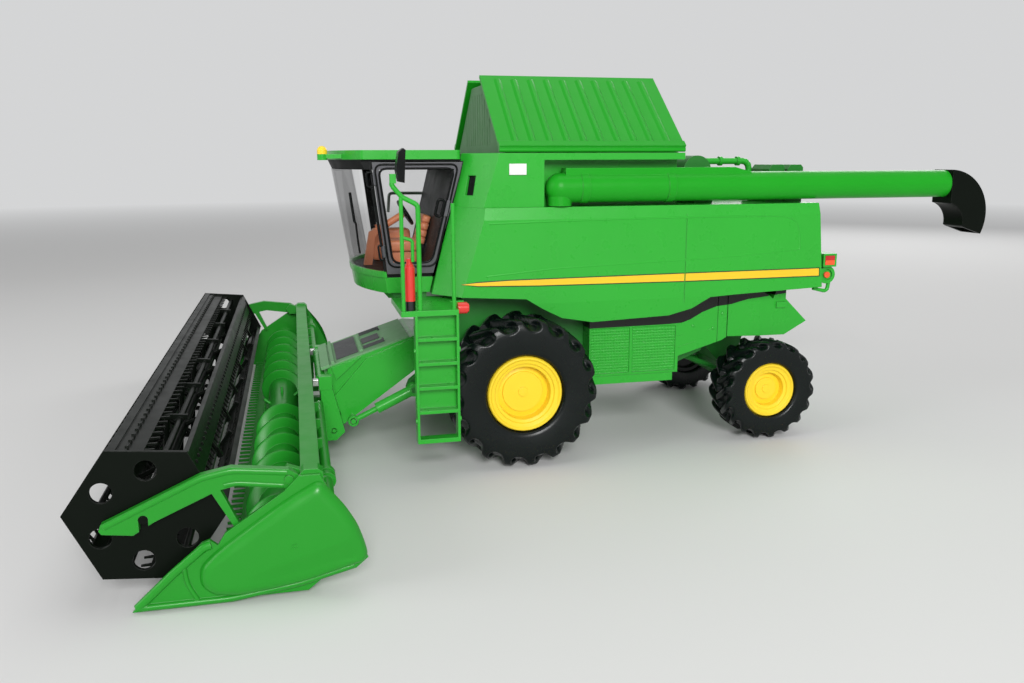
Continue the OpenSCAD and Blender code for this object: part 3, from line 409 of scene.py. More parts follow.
def moulded(name, colour, rough, mottle=0.06, peel=0.1, peel_scale=900.0, coat=0.0, wear_and_sheen=0.2, gloss=0.4,
            paint=None):
    """Principled plastic fed by the moulded group. paint(tree, colour socket) may lay a pattern over it."""
    material = bpy.data.materials.new(name)
    material.use_nodes = True
    tree = material.node_tree
    shader = tree.nodes["Principled BSDF"]
    group = tree.nodes.new("ShaderNodeGroup")
    group.node_tree = MOULDED
    values = {"Color": colour, "Mottle": mottle, "Roughness": rough, "Uneven": UNEVEN,
              "Peel": peel, "Peel Scale": peel_scale, "Edge Radius": EDGE_RADIUS, "Edge Wear And Sheen": wear_and_sheen}
    for label, value in values.items():
        feed(tree, group.inputs[label], value)
    shown = paint(tree, group.outputs["Color"]) if paint else group.outputs["Color"]
    tree.links.new(shown, shader.inputs["Base Color"])
    tree.links.new(group.outputs["Roughness"], shader.inputs["Roughness"])
    tree.links.new(group.outputs["Normal"], shader.inputs["Normal"])
    shader.inputs["Specular IOR Level"].default_value = gloss
    shader.inputs["Coat Weight"].default_value = coat
    shader.inputs["Coat Roughness"].default_value = 0.08
    return material


def below(height, under):
    """Paint that lays another colour over everything under a height in millimetres."""
    def paint(tree, colour):
        low = math_node(tree, "LESS_THAN", object_axis(tree, 2), height / 1000)
        return mixed(tree, low, colour, under)
    return paint


def within(half, under):
    """Paint that lays another colour over everything nearer the centre plane than half, in millimetres."""
    def paint(tree, colour):
        out = math_node(tree, "ABSOLUTE", object_axis(tree, 0))
        return mixed(tree, math_node(tree, "LESS_THAN", out, half / 1000), colour, under)
    return paint


def above_line(points, under):
    """Paint that lays another colour over everything above a line of (y, z) points in millimetres: a ramp
    along y holds the line's height as grey, with 100 mm as white."""
    start, end = points[0][0], points[-1][0]

    def paint(tree, colour):
        along = ranged(tree, object_axis(tree, 1), 0.0, 1.0, (start + AXLE_Y) / 1000, (end + AXLE_Y) / 1000)
        ramp = tree.nodes.new("ShaderNodeValToRGB")
        stops = ramp.color_ramp.elements
        for y, _ in points[1:-1]:
            stops.new((y - start) / (end - start))
        for stop, (_, z) in zip(stops, points):
            stop.color = (z / 100, z / 100, z / 100, 1)
        tree.links.new(along, ramp.inputs["Fac"])
        line = math_node(tree, "MULTIPLY", ramp.outputs["Color"], 0.1)
        return mixed(tree, math_node(tree, "GREATER_THAN", object_axis(tree, 2), line), colour, under)
    return paint


def object_axis(tree, axis):
    """One of the three Object coordinates."""
    split = tree.nodes.new("ShaderNodeSeparateXYZ")
    tree.links.new(tree.nodes.new("ShaderNodeTexCoord").outputs["Object"], split.inputs[0])
    return split.outputs[axis]


def make_glass(name, tint):
    """Thin clear pane: mostly see-through, darker at a grazing angle by Fresnel, with faint streaks."""
    material = bpy.data.materials.new(name)
    material.use_nodes = True
    tree = material.node_tree
    shader = tree.nodes["Principled BSDF"]
    shader.inputs["Base Color"].default_value = (*tint, 1)
    shader.inputs["Roughness"].default_value = 0.02
    shader.inputs["Specular IOR Level"].default_value = 0.25
    fresnel = tree.nodes.new("ShaderNodeFresnel")
    fresnel.inputs["IOR"].default_value = 1.45
    streak = ranged(tree, object_noise(tree, 60.0, 3.0, (1.0, 1.0, 0.3)), 0.0, 0.02)
    veil = ranged(tree, fresnel.outputs[0], 0.03, 0.6, 0.03, 0.7)
    alpha = math_node(tree, "ADD", veil, streak, clamp=True)
    tree.links.new(alpha, shader.inputs["Alpha"])
    return material


GREEN = (0.024, 0.385, 0.028)
# Darker copy of GREEN for the header, which is the same plastic as the body: painted shade
HEADER_SHADED_GREEN = (0.013, 0.265, 0.015)
DARK_GREEN = (0.010, 0.18, 0.016)
# Pale grey-green: painted sheen, the gloss green's reflection of the pale backdrop painted into the colour
PAINTED_SHEEN_GREEN = (0.095, 0.235, 0.100)
YELLOW = (0.93, 0.66, 0.03)
BLACK = (0.005, 0.006, 0.006)
RED = (0.72, 0.035, 0.025)
# Near-black painted shade for the gap under the body's lower edge
PAINTED_GAP_SHADE = (0.002, 0.003, 0.002)

GLOSSY = dict(colour=GREEN, rough=0.26, coat=0.1, mottle=0.03, wear_and_sheen=0.2, gloss=0.3)
RIM = dict(colour=YELLOW, rough=0.3, mottle=0.03, wear_and_sheen=0.1, gloss=0.3)

# Line on the side covers and the chopper above which they lie in the gap under the body's edge: above it they
# get near-black painted shade
BELLY_SHADE_LINE = [(28.3, 49.6), (46.8, 49.7), (65.7, 49.9), (70.8, 50.2), (74.6, 51.4), (79.7, 54.2),
              (86.1, 56.4), (92.6, 57.0), (100.4, 58.9), (110.4, 59.8), (130.0, 61.5)]

MOULDED_FINISH = {
    "gloss_green": GLOSSY,
    "frame_green": dict(colour=DARK_GREEN, rough=0.4, peel=0.2),
    # Tank screens: matt, with the backdrop's sheen painted into their grey-green colour
    "matt_sheen_grey_green": dict(colour=PAINTED_SHEEN_GREEN, rough=0.5, peel=0.35, peel_scale=2600.0, wear_and_sheen=0.15),
    "lamp_yellow": dict(colour=YELLOW, rough=0.2, coat=0.2, wear_and_sheen=0.0),
    "front_rim": dict(RIM, paint=within(46.0, BLACK)),
    "rear_rim": dict(RIM, paint=within(40.5, BLACK)),
    "gloss_black": dict(colour=BLACK, rough=0.24, wear_and_sheen=0.12, gloss=0.08),
    "reel_black": dict(colour=(0.0035, 0.0055, 0.0035), rough=0.3, wear_and_sheen=0.1, gloss=0.07),
    "satin_black": dict(colour=(0.002, 0.0045, 0.004), rough=0.24, wear_and_sheen=0.12, peel=0.08, gloss=0.26),
    # Side covers and chopper: gloss green, with painted shade above the belly line
    "cover_green_gap_shade": dict(GLOSSY, paint=above_line(BELLY_SHADE_LINE, PAINTED_GAP_SHADE)),
    "tread_grey": dict(colour=(0.05, 0.052, 0.055), rough=0.55, peel=0.5, peel_scale=3000.0),
    "door_grey": dict(colour=(0.075, 0.075, 0.085), rough=0.35, wear_and_sheen=0.3),
    "rail_grey": dict(colour=(0.36, 0.42, 0.38), rough=0.35, wear_and_sheen=0.1),
    "seat_brown": dict(colour=(0.66, 0.23, 0.11), rough=0.4, mottle=0.03, peel=0.3, peel_scale=1800.0),
    "lamp_red": dict(colour=RED, rough=0.15, coat=0.3),
    "lamp_two_tone": dict(colour=(0.50, 0.012, 0.012), rough=0.15, coat=0.3,
                          paint=below(74.9, (0.86, 0.10, 0.02))),
    "bottle_red": dict(colour=RED, rough=0.2, coat=0.3, paint=below(67.3, BLACK)),
    "lamp_white": dict(colour=(0.8, 0.8, 0.78), rough=0.2, coat=0.4),
    "silver_pin": dict(colour=(0.72, 0.72, 0.72), rough=0.25, wear_and_sheen=0.1),
    "stripe_yellow": dict(colour=(0.90, 0.56, 0.02), rough=0.3, wear_and_sheen=0.0, peel=0.05),
    "stripe_edge": dict(colour=(0.02, 0.05, 0.02), rough=0.35, wear_and_sheen=0.0, peel=0.05),
    "shell_black": dict(colour=BLACK, rough=0.45, wear_and_sheen=0.1, peel=0.02, gloss=0.12),
    # Darker, less glossy copy of the green for the lids and the unloading tube: painted shade
    "lid_shaded_green": dict(colour=(0.012, 0.32, 0.014), rough=0.3, mottle=0.03, wear_and_sheen=0.2, gloss=0.16),
    # Feeder cover: paler grey-green, a painted sheen on its upper face
    "step_sheen_grey_green": dict(colour=(0.15, 0.35, 0.155), rough=0.5, peel=0.35, peel_scale=2600.0),
    # Header's parts: the body's plastic in a darker copy, painted shade
    "header_shaded_green": dict(colour=HEADER_SHADED_GREEN, rough=0.28, coat=0.08, mottle=0.03, wear_and_sheen=0.2, gloss=0.3),
    # Still darker copy of the green for the cross auger: painted shade where the reel shades it
    "auger_shaded_green": dict(colour=(0.016, 0.27, 0.02), rough=0.3, mottle=0.03, wear_and_sheen=0.2, gloss=0.2),
    # Header beam: the header's shaded green, and above z 36.6 a pale grey-green painted as sheen on its face
    "beam_shade_and_sheen": dict(colour=HEADER_SHADED_GREEN, rough=0.36, mottle=0.03, wear_and_sheen=0.3, peel=0.2, gloss=0.3,
                       paint=above_line([(-100.0, 36.6), (-60.0, 36.6)], PAINTED_SHEEN_GREEN)),
}
FINISH = {name: moulded(name, **values) for name, values in MOULDED_FINISH.items()}
FINISH["clear_pane"] = make_glass("clear_pane", (0.02, 0.022, 0.022))
FINISH["silver_pin"].node_tree.nodes["Principled BSDF"].inputs["Metallic"].default_value = 1.0

CAD_FINISH = {
    "gloss_green": ["body_shell", "grain_tank", "exhaust", "tail_lamps", "cab_base", "cab_roof",
                    "beacon_bracket", "platform", "ladder", "handrails", "feeder_house", "lift_barrels",
                    "lift_rods", "knuckle_left", "knuckle_right"],
    "lid_shaded_green": ["lid_left", "lid_right", "unloading_tube"],
    "header_shaded_green": ["header_ends", "knife_bar", "reel_arms"],
    "auger_shaded_green": ["cross_auger"],
    "cover_green_gap_shade": ["side_covers", "straw_chopper"],
    "reel_black": ["reel", "spout"],
    "beam_shade_and_sheen": ["header_frame"],
    "frame_green": ["chassis", "deck_boxes", "front_axle", "rear_axle"],
    "matt_sheen_grey_green": ["tank_screens"],
    "step_sheen_grey_green": ["feeder_cover"],
    "front_rim": ["rim_front_left", "rim_front_right"],
    "rear_rim": ["rim_rear_left", "rim_rear_right"],
    "lamp_yellow": ["beacon"],
    "gloss_black": ["mirrors", "cab_frame", "steering_wheel"],
    "satin_black": ["tyre_front_left", "tyre_front_right", "tyre_rear_left", "tyre_rear_right"],
    "tread_grey": ["feeder_grip"],
    "door_grey": ["door_frame"],
    "seat_brown": ["seat"],
    "lamp_red": ["step_lamp"],
    "lamp_two_tone": ["tail_lenses"],
    "bottle_red": ["extinguisher"],
    "lamp_white": ["side_lamps"],
    "silver_pin": ["hitch_pins"],
    "clear_pane": ["cab_glass", "door_glass"],
}


def finish_cad():
    """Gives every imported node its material."""
    for finish, names in CAD_FINISH.items():
        for name in names:
            node = NODES[name]
            node.data.materials.clear()
            node.data.materials.append(FINISH[finish])


def piece(name, shape, finish, body, stands_for=(), smooth_angle=35.0, recalc=False):
    """Mesh object of one shape, at the origin, that rides on a body. Edges sharper than smooth_angle stay
    sharp. recalc merges doubles and turns the faces outwards."""
    verts, faces = shape
    mesh = bpy.data.meshes.new(name)
    mesh.from_pydata(place(verts).tolist(), [], faces)
    mesh.update()
    made = bpy.data.objects.new(name, mesh)
    bpy.context.scene.collection.objects.link(made)
    mesh.materials.append(FINISH[finish])
    if recalc:
        work = bmesh.new()
        work.from_mesh(mesh)
        bmesh.ops.remove_doubles(work, verts=work.verts, dist=1e-7)
        bmesh.ops.recalc_face_normals(work, faces=work.faces)
        work.to_mesh(mesh)
        work.free()
    mesh.shade_smooth()
    mesh.set_sharp_from_angle(angle=math.radians(smooth_angle))
    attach(made, body)
    if stands_for:
        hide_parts(*stands_for)
    return made


# Tyres and header

# Profile of a tyre's outer half, from the bead to the middle of the tread: place across (mm inwards from
# the outer face, for the front tyre), share of the height from rim to lug tip, and how far a hollow sinks
# across and down
TYRE_PROFILE = np.array([
    (3.2, 0.0, 0.0, 0.0), (1.5, 0.03, 0.0, 0.0), (0.8, 0.085, 0.0, 0.0), (0.45, 0.2, 0.0, 0.0),
    (0.1, 0.42, 0.0, 0.0), (0.0, 0.62, 0.0, 0.0), (0.05, 0.70, 0.8, 0.05), (0.3, 0.79, 2.0, 0.4),
    (0.8, 0.875, 2.8, 1.0), (1.6, 0.945, 2.8, 1.8), (2.8, 0.985, 1.9, 2.4), (4.5, 0.998, 0.6, 2.6),
    (12.5, 1.0, 0.0, 2.6)])
TYRE_STEPS = np.concatenate([np.linspace(0, 4, 7), np.linspace(4.4, 11, 25), np.linspace(11.12, 12, 8)])
STEPS_PER_LUG = 24
HOLLOW_END = 0.63


def smooth_step(value):
    """3 v^2 - 2 v^3 of the value held between 0 and 1."""
    v = np.clip(value, 0, 1)
    return v * v * (3 - 2 * v)


def tyre_shape(wheel):
    """Point at angle a and profile place s: outer profile sunk by a hollow's depth.
    Lug n of a row has its middle at arc n * pitch - lean * t, where t runs from 0 at the tread's middle to 1
    at the shoulder; the inner row is half a pitch on. A hollow is a slot between two lugs with a half-round
    end on the side wall: its edge distance is 1 - hypot(1 - flank / half, 1 - end / half), each held at 0
    from below."""
    r, w, rim = wheel["r"], wheel["w"], wheel["rim"]
    scale = w / FRONT_WHEEL["w"]
    nodes = np.arange(len(TYRE_PROFILE))
    across, share, sink_x, sink_r = [np.interp(TYRE_STEPS, nodes, column) for column in TYRE_PROFILE.T]
    across = across * scale
    radius = rim + share * (r - rim)
    sink_x, sink_r = sink_x * scale, sink_r * wheel["lug"] / FRONT_WHEEL["lug"]
    pitch = 2 * math.pi * r / LUGS
    half_lug, half_hollow = 0.115 * pitch, 0.385 * pitch
    arc = np.linspace(0, pitch * LUGS, LUGS * STEPS_PER_LUG, endpoint=False)[:, None]
    lean = 0.34 * w
    halves = []
    for row in (0, 1):
        t = 1 - across / (w / 2)
        own = np.mod(arc - row * pitch / 2 + lean * t + pitch / 2, pitch) - pitch / 2
        flank = np.abs(own) - half_lug
        end = (share - HOLLOW_END) * (r - rim)
        edge = 1 - np.hypot(np.maximum(0, 1 - flank / half_hollow), np.maximum(0, 1 - end / half_hollow))
        depth = smooth_step(edge * half_hollow / 1.5)
        # Where the two rows meet, a lug fades out within a millimetre of the middle
        other = np.mod(arc - (1 - row) * pitch / 2 + pitch / 2, pitch) - pitch / 2
        meeting = smooth_step((np.abs(other) - half_lug) / 1.2)
        near = smooth_step((t * w / 2 - 0.2) / 1.4)
        depth = depth * (near + (1 - near) * meeting)
        halves.append((across + sink_x * depth, radius - sink_r * depth))
    x = np.hstack([-halves[0][0], (halves[1][0] - w)[:, -2::-1]])
    rad = np.hstack([halves[0][1], halves[1][1][:, -2::-1]])
    turn = arc / r
    y, z = wheel["y"] + rad * np.sin(turn), wheel["z"] - rad * np.cos(turn)
    return grid_mesh(np.stack([wheel["face"] + x, y, z], axis=-1), wrap_u=True)


def helix_flight():
    """Left flight of the cross auger: at angle b its middle lies at x = inner + pitch (b - start) / 360, and
    the profile from tube to rim and back is a strip of the flight's thickness with a rounded rim."""
    start, end = AUGER["start"], AUGER["start"] + 360 * (AUGER["outer"] - AUGER["inner"]) / AUGER["pitch"]
    angle = np.radians(np.arange(start, end, 10.0))[:, None]
    low, high, half = AUGER["tube"] - 0.4, AUGER["flight"], 0.95
    profile = np.array([(-half, low), (-half * 0.85, high - 0.7), (-half * 0.5, high - 0.15), (0, high),
                        (half * 0.5, high - 0.15), (half * 0.85, high - 0.7), (half, low)])
    x = AUGER["inner"] + AUGER["pitch"] * (np.degrees(angle) - start) / 360 + profile[:, 0]
    y, z = AUGER["y"] + profile[:, 1] * np.cos(angle), AUGER["z"] + profile[:, 1] * np.sin(angle)
    verts, faces = grid_mesh(np.stack([x, y, z], axis=-1))
    count, last = len(profile), (len(angle) - 1) * len(profile)
    faces += [list(range(count)), [last + i for i in range(count)][::-1]]
    return verts, [face[::-1] for face in faces]


def auger_shape():
    """Tube with stepped ends, two flights of opposite hand and seven retracting fingers round the middle."""
    end = HEADER_HALF - 1.0
    tube_r = AUGER["tube"]
    centre = (0.0, AUGER["y"], AUGER["z"])
    body = lathe([(-end, 1.6), (-end, tube_r - 0.4), (-end + 0.4, tube_r), (end - 0.4, tube_r),
                  (end, tube_r - 0.4), (end, 1.6)], centre, 48)
    parts = [body, both_sides(helix_flight())]
    for i in range(-3, 4):
        a = math.radians(i * 52)
        ray = np.array((0.0, -math.sin(a), math.cos(a)))
        foot = np.array(centre) + (i * 5.4, 0, 0)
        parts.append(tube([foot + ray * 5.0, foot + ray * 8.9, foot + ray * 9.3], (0.6, 0.6, 0.35), 10))
    return joined(parts)


KNIFE_Y = -99.7
BOLT_PITCH = 2.75


def knife_bolts():
    """Row of small round heads along the knife bar: each a low dome of three rings."""
    count = 8
    height, across, along = dome([(3.4, 0.55), (3.75, 0.5), (3.9, 0.25)], count)
    top = list(range(2 * count, 3 * count))
    parts = []
    for x in np.arange(-HEADER_HALF + 3, HEADER_HALF - 2, BOLT_PITCH):
        verts, faces = grid_mesh(np.stack([x + across, KNIFE_Y + along, height], axis=-1), wrap_v=True)
        parts.append((verts, [face[::-1] for face in faces] + [top]))
    return joined(parts)


END_X = HEADER_HALF + 1.2
CROWN, LIP = 2.47, 3.6
END_SHEET = [(-128, 0.8), (-126.6, 2.2), (-109.6, 18.2), (-107.6, 18.9), (-105.6, 17.2), (-103.6, 20.4),
             (-88, 30.6), (-84, 34.6), (-78.6, 34.6), (-71, 19), (-66.6, 9.6), (-70, 6.8), (-85, 3.2),
             (-103, 0.8)]
BULGE = [(-78.6, 33.4), (-84.6, 30.2), (-91.0, 26.4), (-99.4, 20.6), (-106.0, 16.0), (-110.6, 11.8),
         (-110.8, 6.4), (-107.6, 3.4), (-100.5, 2.6), (-92.2, 3.4), (-83.8, 4.6), (-75.2, 6.8),
         (-67.4, 8.8), (-66.7, 11.0), (-67.6, 15.0), (-69.4, 20.2), (-72.4, 25.4)]


def closed_round(points, bend):
    """Closed outline of (y, z) corners, each rounded by a quadratic curve."""
    corners = [(0.0, y, z) for y, z in points]
    start = tuple((np.array(corners[0]) + np.array(corners[-1])) / 2)
    return rounded_path([start] + corners + [start], bend, 6)[:-1, 1:]


def turned_to(shape, direction):
    """The shape with its faces turned so that their summed area looks along a direction."""
    verts, faces = shape
    looks = sum(np.cross(verts[f[1]] - verts[f[0]], verts[f[2]] - verts[f[0]]) for f in faces)
    return shape if looks @ np.array(direction) > 0 else (verts, [face[::-1] for face in faces])


def end_moulding():
    """Bulged outer face of the end sheet. Inwards from its rim, at share s of the way to the middle and
    distance d from the rim, it rises by CROWN sqrt(1 - (1 - d / LIP)^2), with d held below LIP. Under a
    crease that runs out towards the divider it falls away by a seventh of its distance from the crease."""
    rim = closed_round(BULGE, 2.4)
    middle = np.array((-86.0, 16.0))
    share = np.concatenate([np.linspace(0, 0.3, 12), np.linspace(0.34, 0.96, 14)])[:, None, None]
    spots = rim[None] + share * (middle - rim)[None]
    edges = np.roll(rim, -1, axis=0) - rim
    edges /= np.linalg.norm(edges, axis=1)[:, None]
    inward = np.abs(edges[:, 0] * (middle - rim)[:, 1] - edges[:, 1] * (middle - rim)[:, 0])
    away = np.clip(share[..., 0] * inward[None] / LIP, 0, 1)
    rise = CROWN * np.sqrt(1 - (1 - away) ** 2)
    y, z = spots[..., 0], spots[..., 1]
    crease = 10.5 + (y + 91.8) * 0.284
    under = np.maximum(0, crease - z) * smooth_step((y + 104) / 16)
    x = END_X + np.maximum(0.0, rise - under / 7 * away)
    grid = np.stack([x, y, z], axis=-1)
    verts, faces = grid_mesh(grid, wrap_v=True)
    count, last = len(rim), (len(share) - 1) * len(rim)
    faces += [[last + i, last + (i + 1) % count, len(verts)] for i in range(count)]
    verts = np.vstack([verts, [(verts[last:, 0].mean(), *middle)]])
    return both_sides(turned_to((verts, faces), (1, 0, 0)))


def flat_rib(points, x, width, proud):
    """Rounded rib along (y, z) points on a face at x: a round squeezed to its height."""
    verts, faces = tube(rounded_path([(x, y, z) for y, z in points], 2.0), width / 2, 14)
    verts[:, 0] = x + (verts[:, 0] - x) * proud * 2 / width
    return verts, faces


def end_sheets():
    """End sheet with the raised edges of its crop divider and the auger's stub."""
    sheet = slab(END_SHEET, HEADER_HALF, END_X)
    ribs = [flat_rib([(-126.6, 1.9), (-116.8, 10.9), (-109.0, 17.2), (-107.2, 17.6)], END_X, 2.4, 1.1),
            flat_rib([(-126.4, 1.9), (-103.0, 1.9), (-85.0, 4.2), (-70.6, 7.8)], END_X, 1.8, 0.9),
            flat_rib([(-114.4, 12.0), (-113.9, 7.2), (-111.6, 2.6)], END_X, 1.3, 0.7)]
    stub = lathe([(0.0, 0.01), (0.0, 1.5), (4.1, 1.5), (4.1, 0.01)],
                 (HEADER_HALF - 4, AUGER["y"], AUGER["z"]), 24)
    return both_sides(joined([sheet, stub] + ribs))


def arm_rims():
    """Raised edges on the reel arms: along the upper edge and along the ledge behind the slanted prop."""
    face = HEADER_HALF - 0.6
    upper = flat_rib([(-133.4, 24.2), (-109.0, 35.3), (-101.2, 36.8), (-87.0, 35.1)], face, 1.5, 0.36)
    ledge = flat_rib([(-103.2, 33.0), (-100.0, 33.4), (-88.0, 31.6)], face, 1.3, 0.36)
    return both_sides(joined([upper, ledge]))


# Body

SEAM_Y = 67.6


def stripe(grow, proud):
    """Band along the side panel from its pointed tip to the rear edge, in two lengths that stop at the seam.
    grow widens it upwards, downwards and at the rear edge."""
    low, high = 68.65 - grow, 71.6 + grow
    front = [(-22.6 + 0.6 * (0.4 - grow), 70.35), (-16.0, 69.6 - grow), (8.0, 69.0 - grow),
             (SEAM_Y - 0.05, low), (SEAM_Y - 0.05, high), (-4.0, 71.2 + grow), (-16.0, 70.8 + grow)]
    rear = [(SEAM_Y + 0.45, low), (127.4 + grow, 68.8 - grow), (127.2 + grow, 71.8 + grow),
            (SEAM_Y + 0.45, high)]
    return both_sides(joined([slab(part, BODY_HALF - 0.2, BODY_HALF + proud) for part in (front, rear)]))


def panel_lines():
    """Embossed lines on the side panels: thin rounds along two curves, sunk but for their crest."""
    upper = [(-11.6, 92.7), (15.9, 93.3), (48.2, 93.7), (81.9, 93.8), (110.4, 93.6), (115.4, 91.8),
             (117.6, 85.7), (118, 80)]
    lower = [(118, 80), (100.2, 78.5), (74, 77.2), (53.7, 76.6), (16.1, 75.4), (-12.9, 73)]
    parts = []
    for line, radius, proud in ((upper, 0.55, 0.16), (lower, 0.55, 0.1)):
        path = rounded_path([(BODY_HALF - radius + proud, y, z) for y, z in line], 4.0, 7)
        parts.append(tube(path, radius, 16))
    return both_sides(joined(parts))


GRILLE_Z = (30.7, 49.3)
DOT_Y, DOT_Z = 0.66, 1.14


def grille_sheet(y0, y1):
    """Perforated sheet: x sinks by the hollow of each dot, sin^2 along y times sin^2 along z."""
    z0, z1 = GRILLE_Z
    columns, rows = round((y1 - y0) / DOT_Y), round((z1 - z0) / DOT_Z)
    y = np.linspace(y0, y1, columns * 4 + 1)[:, None]
    z = np.linspace(z0, z1, rows * 4 + 1)[None, :]
    hole = np.sin(math.pi * (y - y0) / (y1 - y0) * columns) ** 2
    hole = hole * np.sin(math.pi * (z - z0) / (z1 - z0) * rows) ** 2
    x = COVER_HALF - 0.16 - 0.45 * smooth_step(hole * 1.4)
    return grid_mesh(np.stack([x, y + 0 * z, z + 0 * y], axis=-1))


def grilles():
    """The two perforated sheets of each lower cover."""
    return both_sides(joined([grille_sheet(31.7, 48.1), grille_sheet(49.5, 68.1)]))


# Cab

DOOR_X = CAB_HALF + 0.4
FLOOR_Z, FLOOR_TOP = 72.0, 73.2


def loop_round(points, radius, bend):
    """Closed ring of a round carried along a rounded closed outline of (x, y, z) corners."""
    points = [np.array(point, float) for point in points]
    start = (points[-1] + points[0]) / 2
    path = rounded_path([start] + points + [start], bend, 7)[:-1]
    step = np.roll(path, -1, axis=0) - np.roll(path, 1, axis=0)
    ahead = step / np.linalg.norm(step, axis=1)[:, None]
    side = np.tile((1.0, 0.0, 0.0), (len(path), 1))
    up = np.cross(ahead, side)
    up /= np.linalg.norm(up, axis=1)[:, None]
    return grid_mesh(circles(path, radius, side, up, 10), wrap_u=True, wrap_v=True)


def oval(centre, length, width, lean, radius):
    """Upright oval ring in the door's plane, leaning by an angle in degrees."""
    a = math.radians(lean)
    along = np.array((0, math.sin(a), math.cos(a))) * length / 2
    across = np.array((0, math.cos(a), -math.sin(a))) * width / 2
    corners = [centre + along * u + across * v for u, v in ((1, 1), (1, -1), (-1, -1), (-1, 1))]
    return loop_round(corners, radius, width / 2)


def held_oval(centre, length, width, lean, radius, back):
    """Oval ring with a short peg at each end, which reaches in to the face at x = back."""
    a = math.radians(lean)
    along = np.array((0, math.sin(a), math.cos(a))) * length / 2
    pegs = [tube([(back, end[1], end[2]), end], radius * 0.9, 10) for end in (centre + along, centre - along)]
    return joined([oval(centre, length, width, lean, radius)] + pegs)


WINDOW = [(-50.4, 112.8), (-22.0, 112.8), (-31.5, 77.8), (-46.0, 77.8)]


def window_ring(grow, radius):
    """Ring round the door's window, grown outwards by a distance from its outline."""
    centre = np.mean(WINDOW, axis=0)
    corners = []
    for y, z in WINDOW:
        away = np.array((y, z)) - centre
        corners.append((DOOR_X, y + grow * np.sign(away[0]), z + grow * np.sign(away[1])))
    return loop_round(corners, radius, 3.2)


def pillow(centre, half, power):
    """Superellipsoid: centre + half * (cos^p u cos^p v, cos^p u sin^p v, sin^p u), signs kept."""
    u = np.linspace(-math.pi / 2, math.pi / 2, 20)[:, None]
    v = np.linspace(0, 2 * math.pi, 28, endpoint=False)[None, :]
    cos_u, sin_u, cos_v, sin_v = [np.sign(wave) * np.abs(wave) ** power
                                  for wave in (np.cos(u), np.sin(u), np.cos(v), np.sin(v))]
    grid = np.stack([cos_u * cos_v, cos_u * sin_v, sin_u + 0 * v], axis=-1) * half + centre
    return grid_mesh(grid, wrap_v=True)


def leaned(shape, pivot, degrees):
    """The shape turned about the line along x through a pivot (y, z)."""
    verts, faces = shape
    a = math.radians(degrees)
    y, z = verts[:, 1] - pivot[0], verts[:, 2] - pivot[1]
    return np.stack([verts[:, 0], pivot[0] + y * math.cos(a) - z * math.sin(a),
                     pivot[1] + y * math.sin(a) + z * math.cos(a)], axis=-1), faces


def seat_shape():
    """Moulded seat: plinth, cushion with rolled edge, back with bands, console with its lever, column."""
    plinth = pillow((0, -38.5, FLOOR_TOP + 3.2), (6.4, 5.6, 3.3), 0.2)
    cushion = pillow((0, -39.0, FLOOR_TOP + 8.0), (8.0, 7.0, 2.6), 0.35)
    bands = [pillow((0, -31.6, 83.4 + 3.0 * i), (7.8 - 0.2 * i, 1.8, 1.7), 0.4) for i in range(4)]
    back = joined([leaned(band, (-31.6, 82.0), -16) for band in bands])
    console = pillow((-15.8, -41.5, FLOOR_TOP + 7.0), (3.8, 8.4, 7.0), 0.25)
    lever = tube([(-15.8, -46.5, FLOOR_TOP + 13.0), (-15.8, -47.4, FLOOR_TOP + 15.6)], (0.7, 0.9), 10)
    column = slab([(-54.6, FLOOR_TOP), (-51.2, FLOOR_TOP), (-49.6, 84.6), (-48.4, 86.4), (-50.0, 87.8),
                   (-52.0, 86.8)], -1.7, 1.7)
    rod = tube([(0, -49.4, 86.9), (0, -37.7, 93.9)], 1.4, 14)
    return joined([plinth, cushion, back, console, lever, column, rod])


CAB_LEAN = math.radians(9)
LEAN_Z = 114.0
ARC_Y = 1.0
SCREEN_R = 67.0
SCREEN_Z = (74.4, 112.9)
SILL_Z = 74.5
VISOR_Z, DOOR_TOP, ROOF_Z = 112.7, 115.7, 116.4
WALL = 1.4
STRIP_X = 34.5


def bulkhead(z):
    """Place along y of the leaning plane between the cab and the tank."""
    return -18.5 - (119.3 - z) * 0.25


def door_front(z):
    """Place along y of the door's front edge."""
    return -53.2 + (115.6 - z) * 4.6 / 42.4


def back_edge(z, ahead=0.0):
    """Point (y, z) on the bulkhead, or ahead of it."""
    return bulkhead(z) - ahead, z


def door_edge(z, ahead=0.0):
    """Point (y, z) on the door's front edge, or ahead of it."""
    return door_front(z) - ahead, z


def screen_row(z, inset):
    """Cab's front in plan at one height, from the door's front edge round to the far side: side, corner as a
    quadratic curve, arc of the windscreen's radius about ARC_Y. The whole leans forward about the roof:
    y = plan y / cos + (LEAN_Z - z) tan."""
    half, r = CAB_HALF - inset, SCREEN_R - inset

    def point(x):
        plan_y = ARC_Y - math.sqrt(r * r - x * x)
        return np.array((x, plan_y / math.cos(CAB_LEAN) + (LEAN_Z - z) * math.tan(CAB_LEAN), z))

    corner = point(half)
    reach = min(2.6, 0.9 * (door_front(z) - corner[1]))
    start, end = corner + (0, reach, 0), point(half - reach)
    near = [np.array((half, door_front(z), z))]
    near += [(1 - t) ** 2 * start + 2 * t * (1 - t) * corner + t ** 2 * end for t in np.linspace(0, 1, 7)]
    arc = [point(x) for x in np.linspace(half - reach, reach - half, 33)[1:-1]]
    return np.array(near + arc + [(-x, y, z) for x, y, z in near[::-1]])


def windscreen_shape():
    """Curved pane that wraps round both corners of the cab's front."""
    return grid_mesh(np.stack([screen_row(z, 0.3) for z in np.linspace(*SCREEN_Z, 16)]))


def band_round(rows):
    """Closed band through four rows of points, with its two ends capped."""
    grid = np.stack(rows)
    verts, faces = grid_mesh(grid, wrap_u=True)
    count = grid.shape[1]
    faces += [[i * count for i in range(4)], [i * count + count - 1 for i in range(4)][::-1]]
    return verts, faces


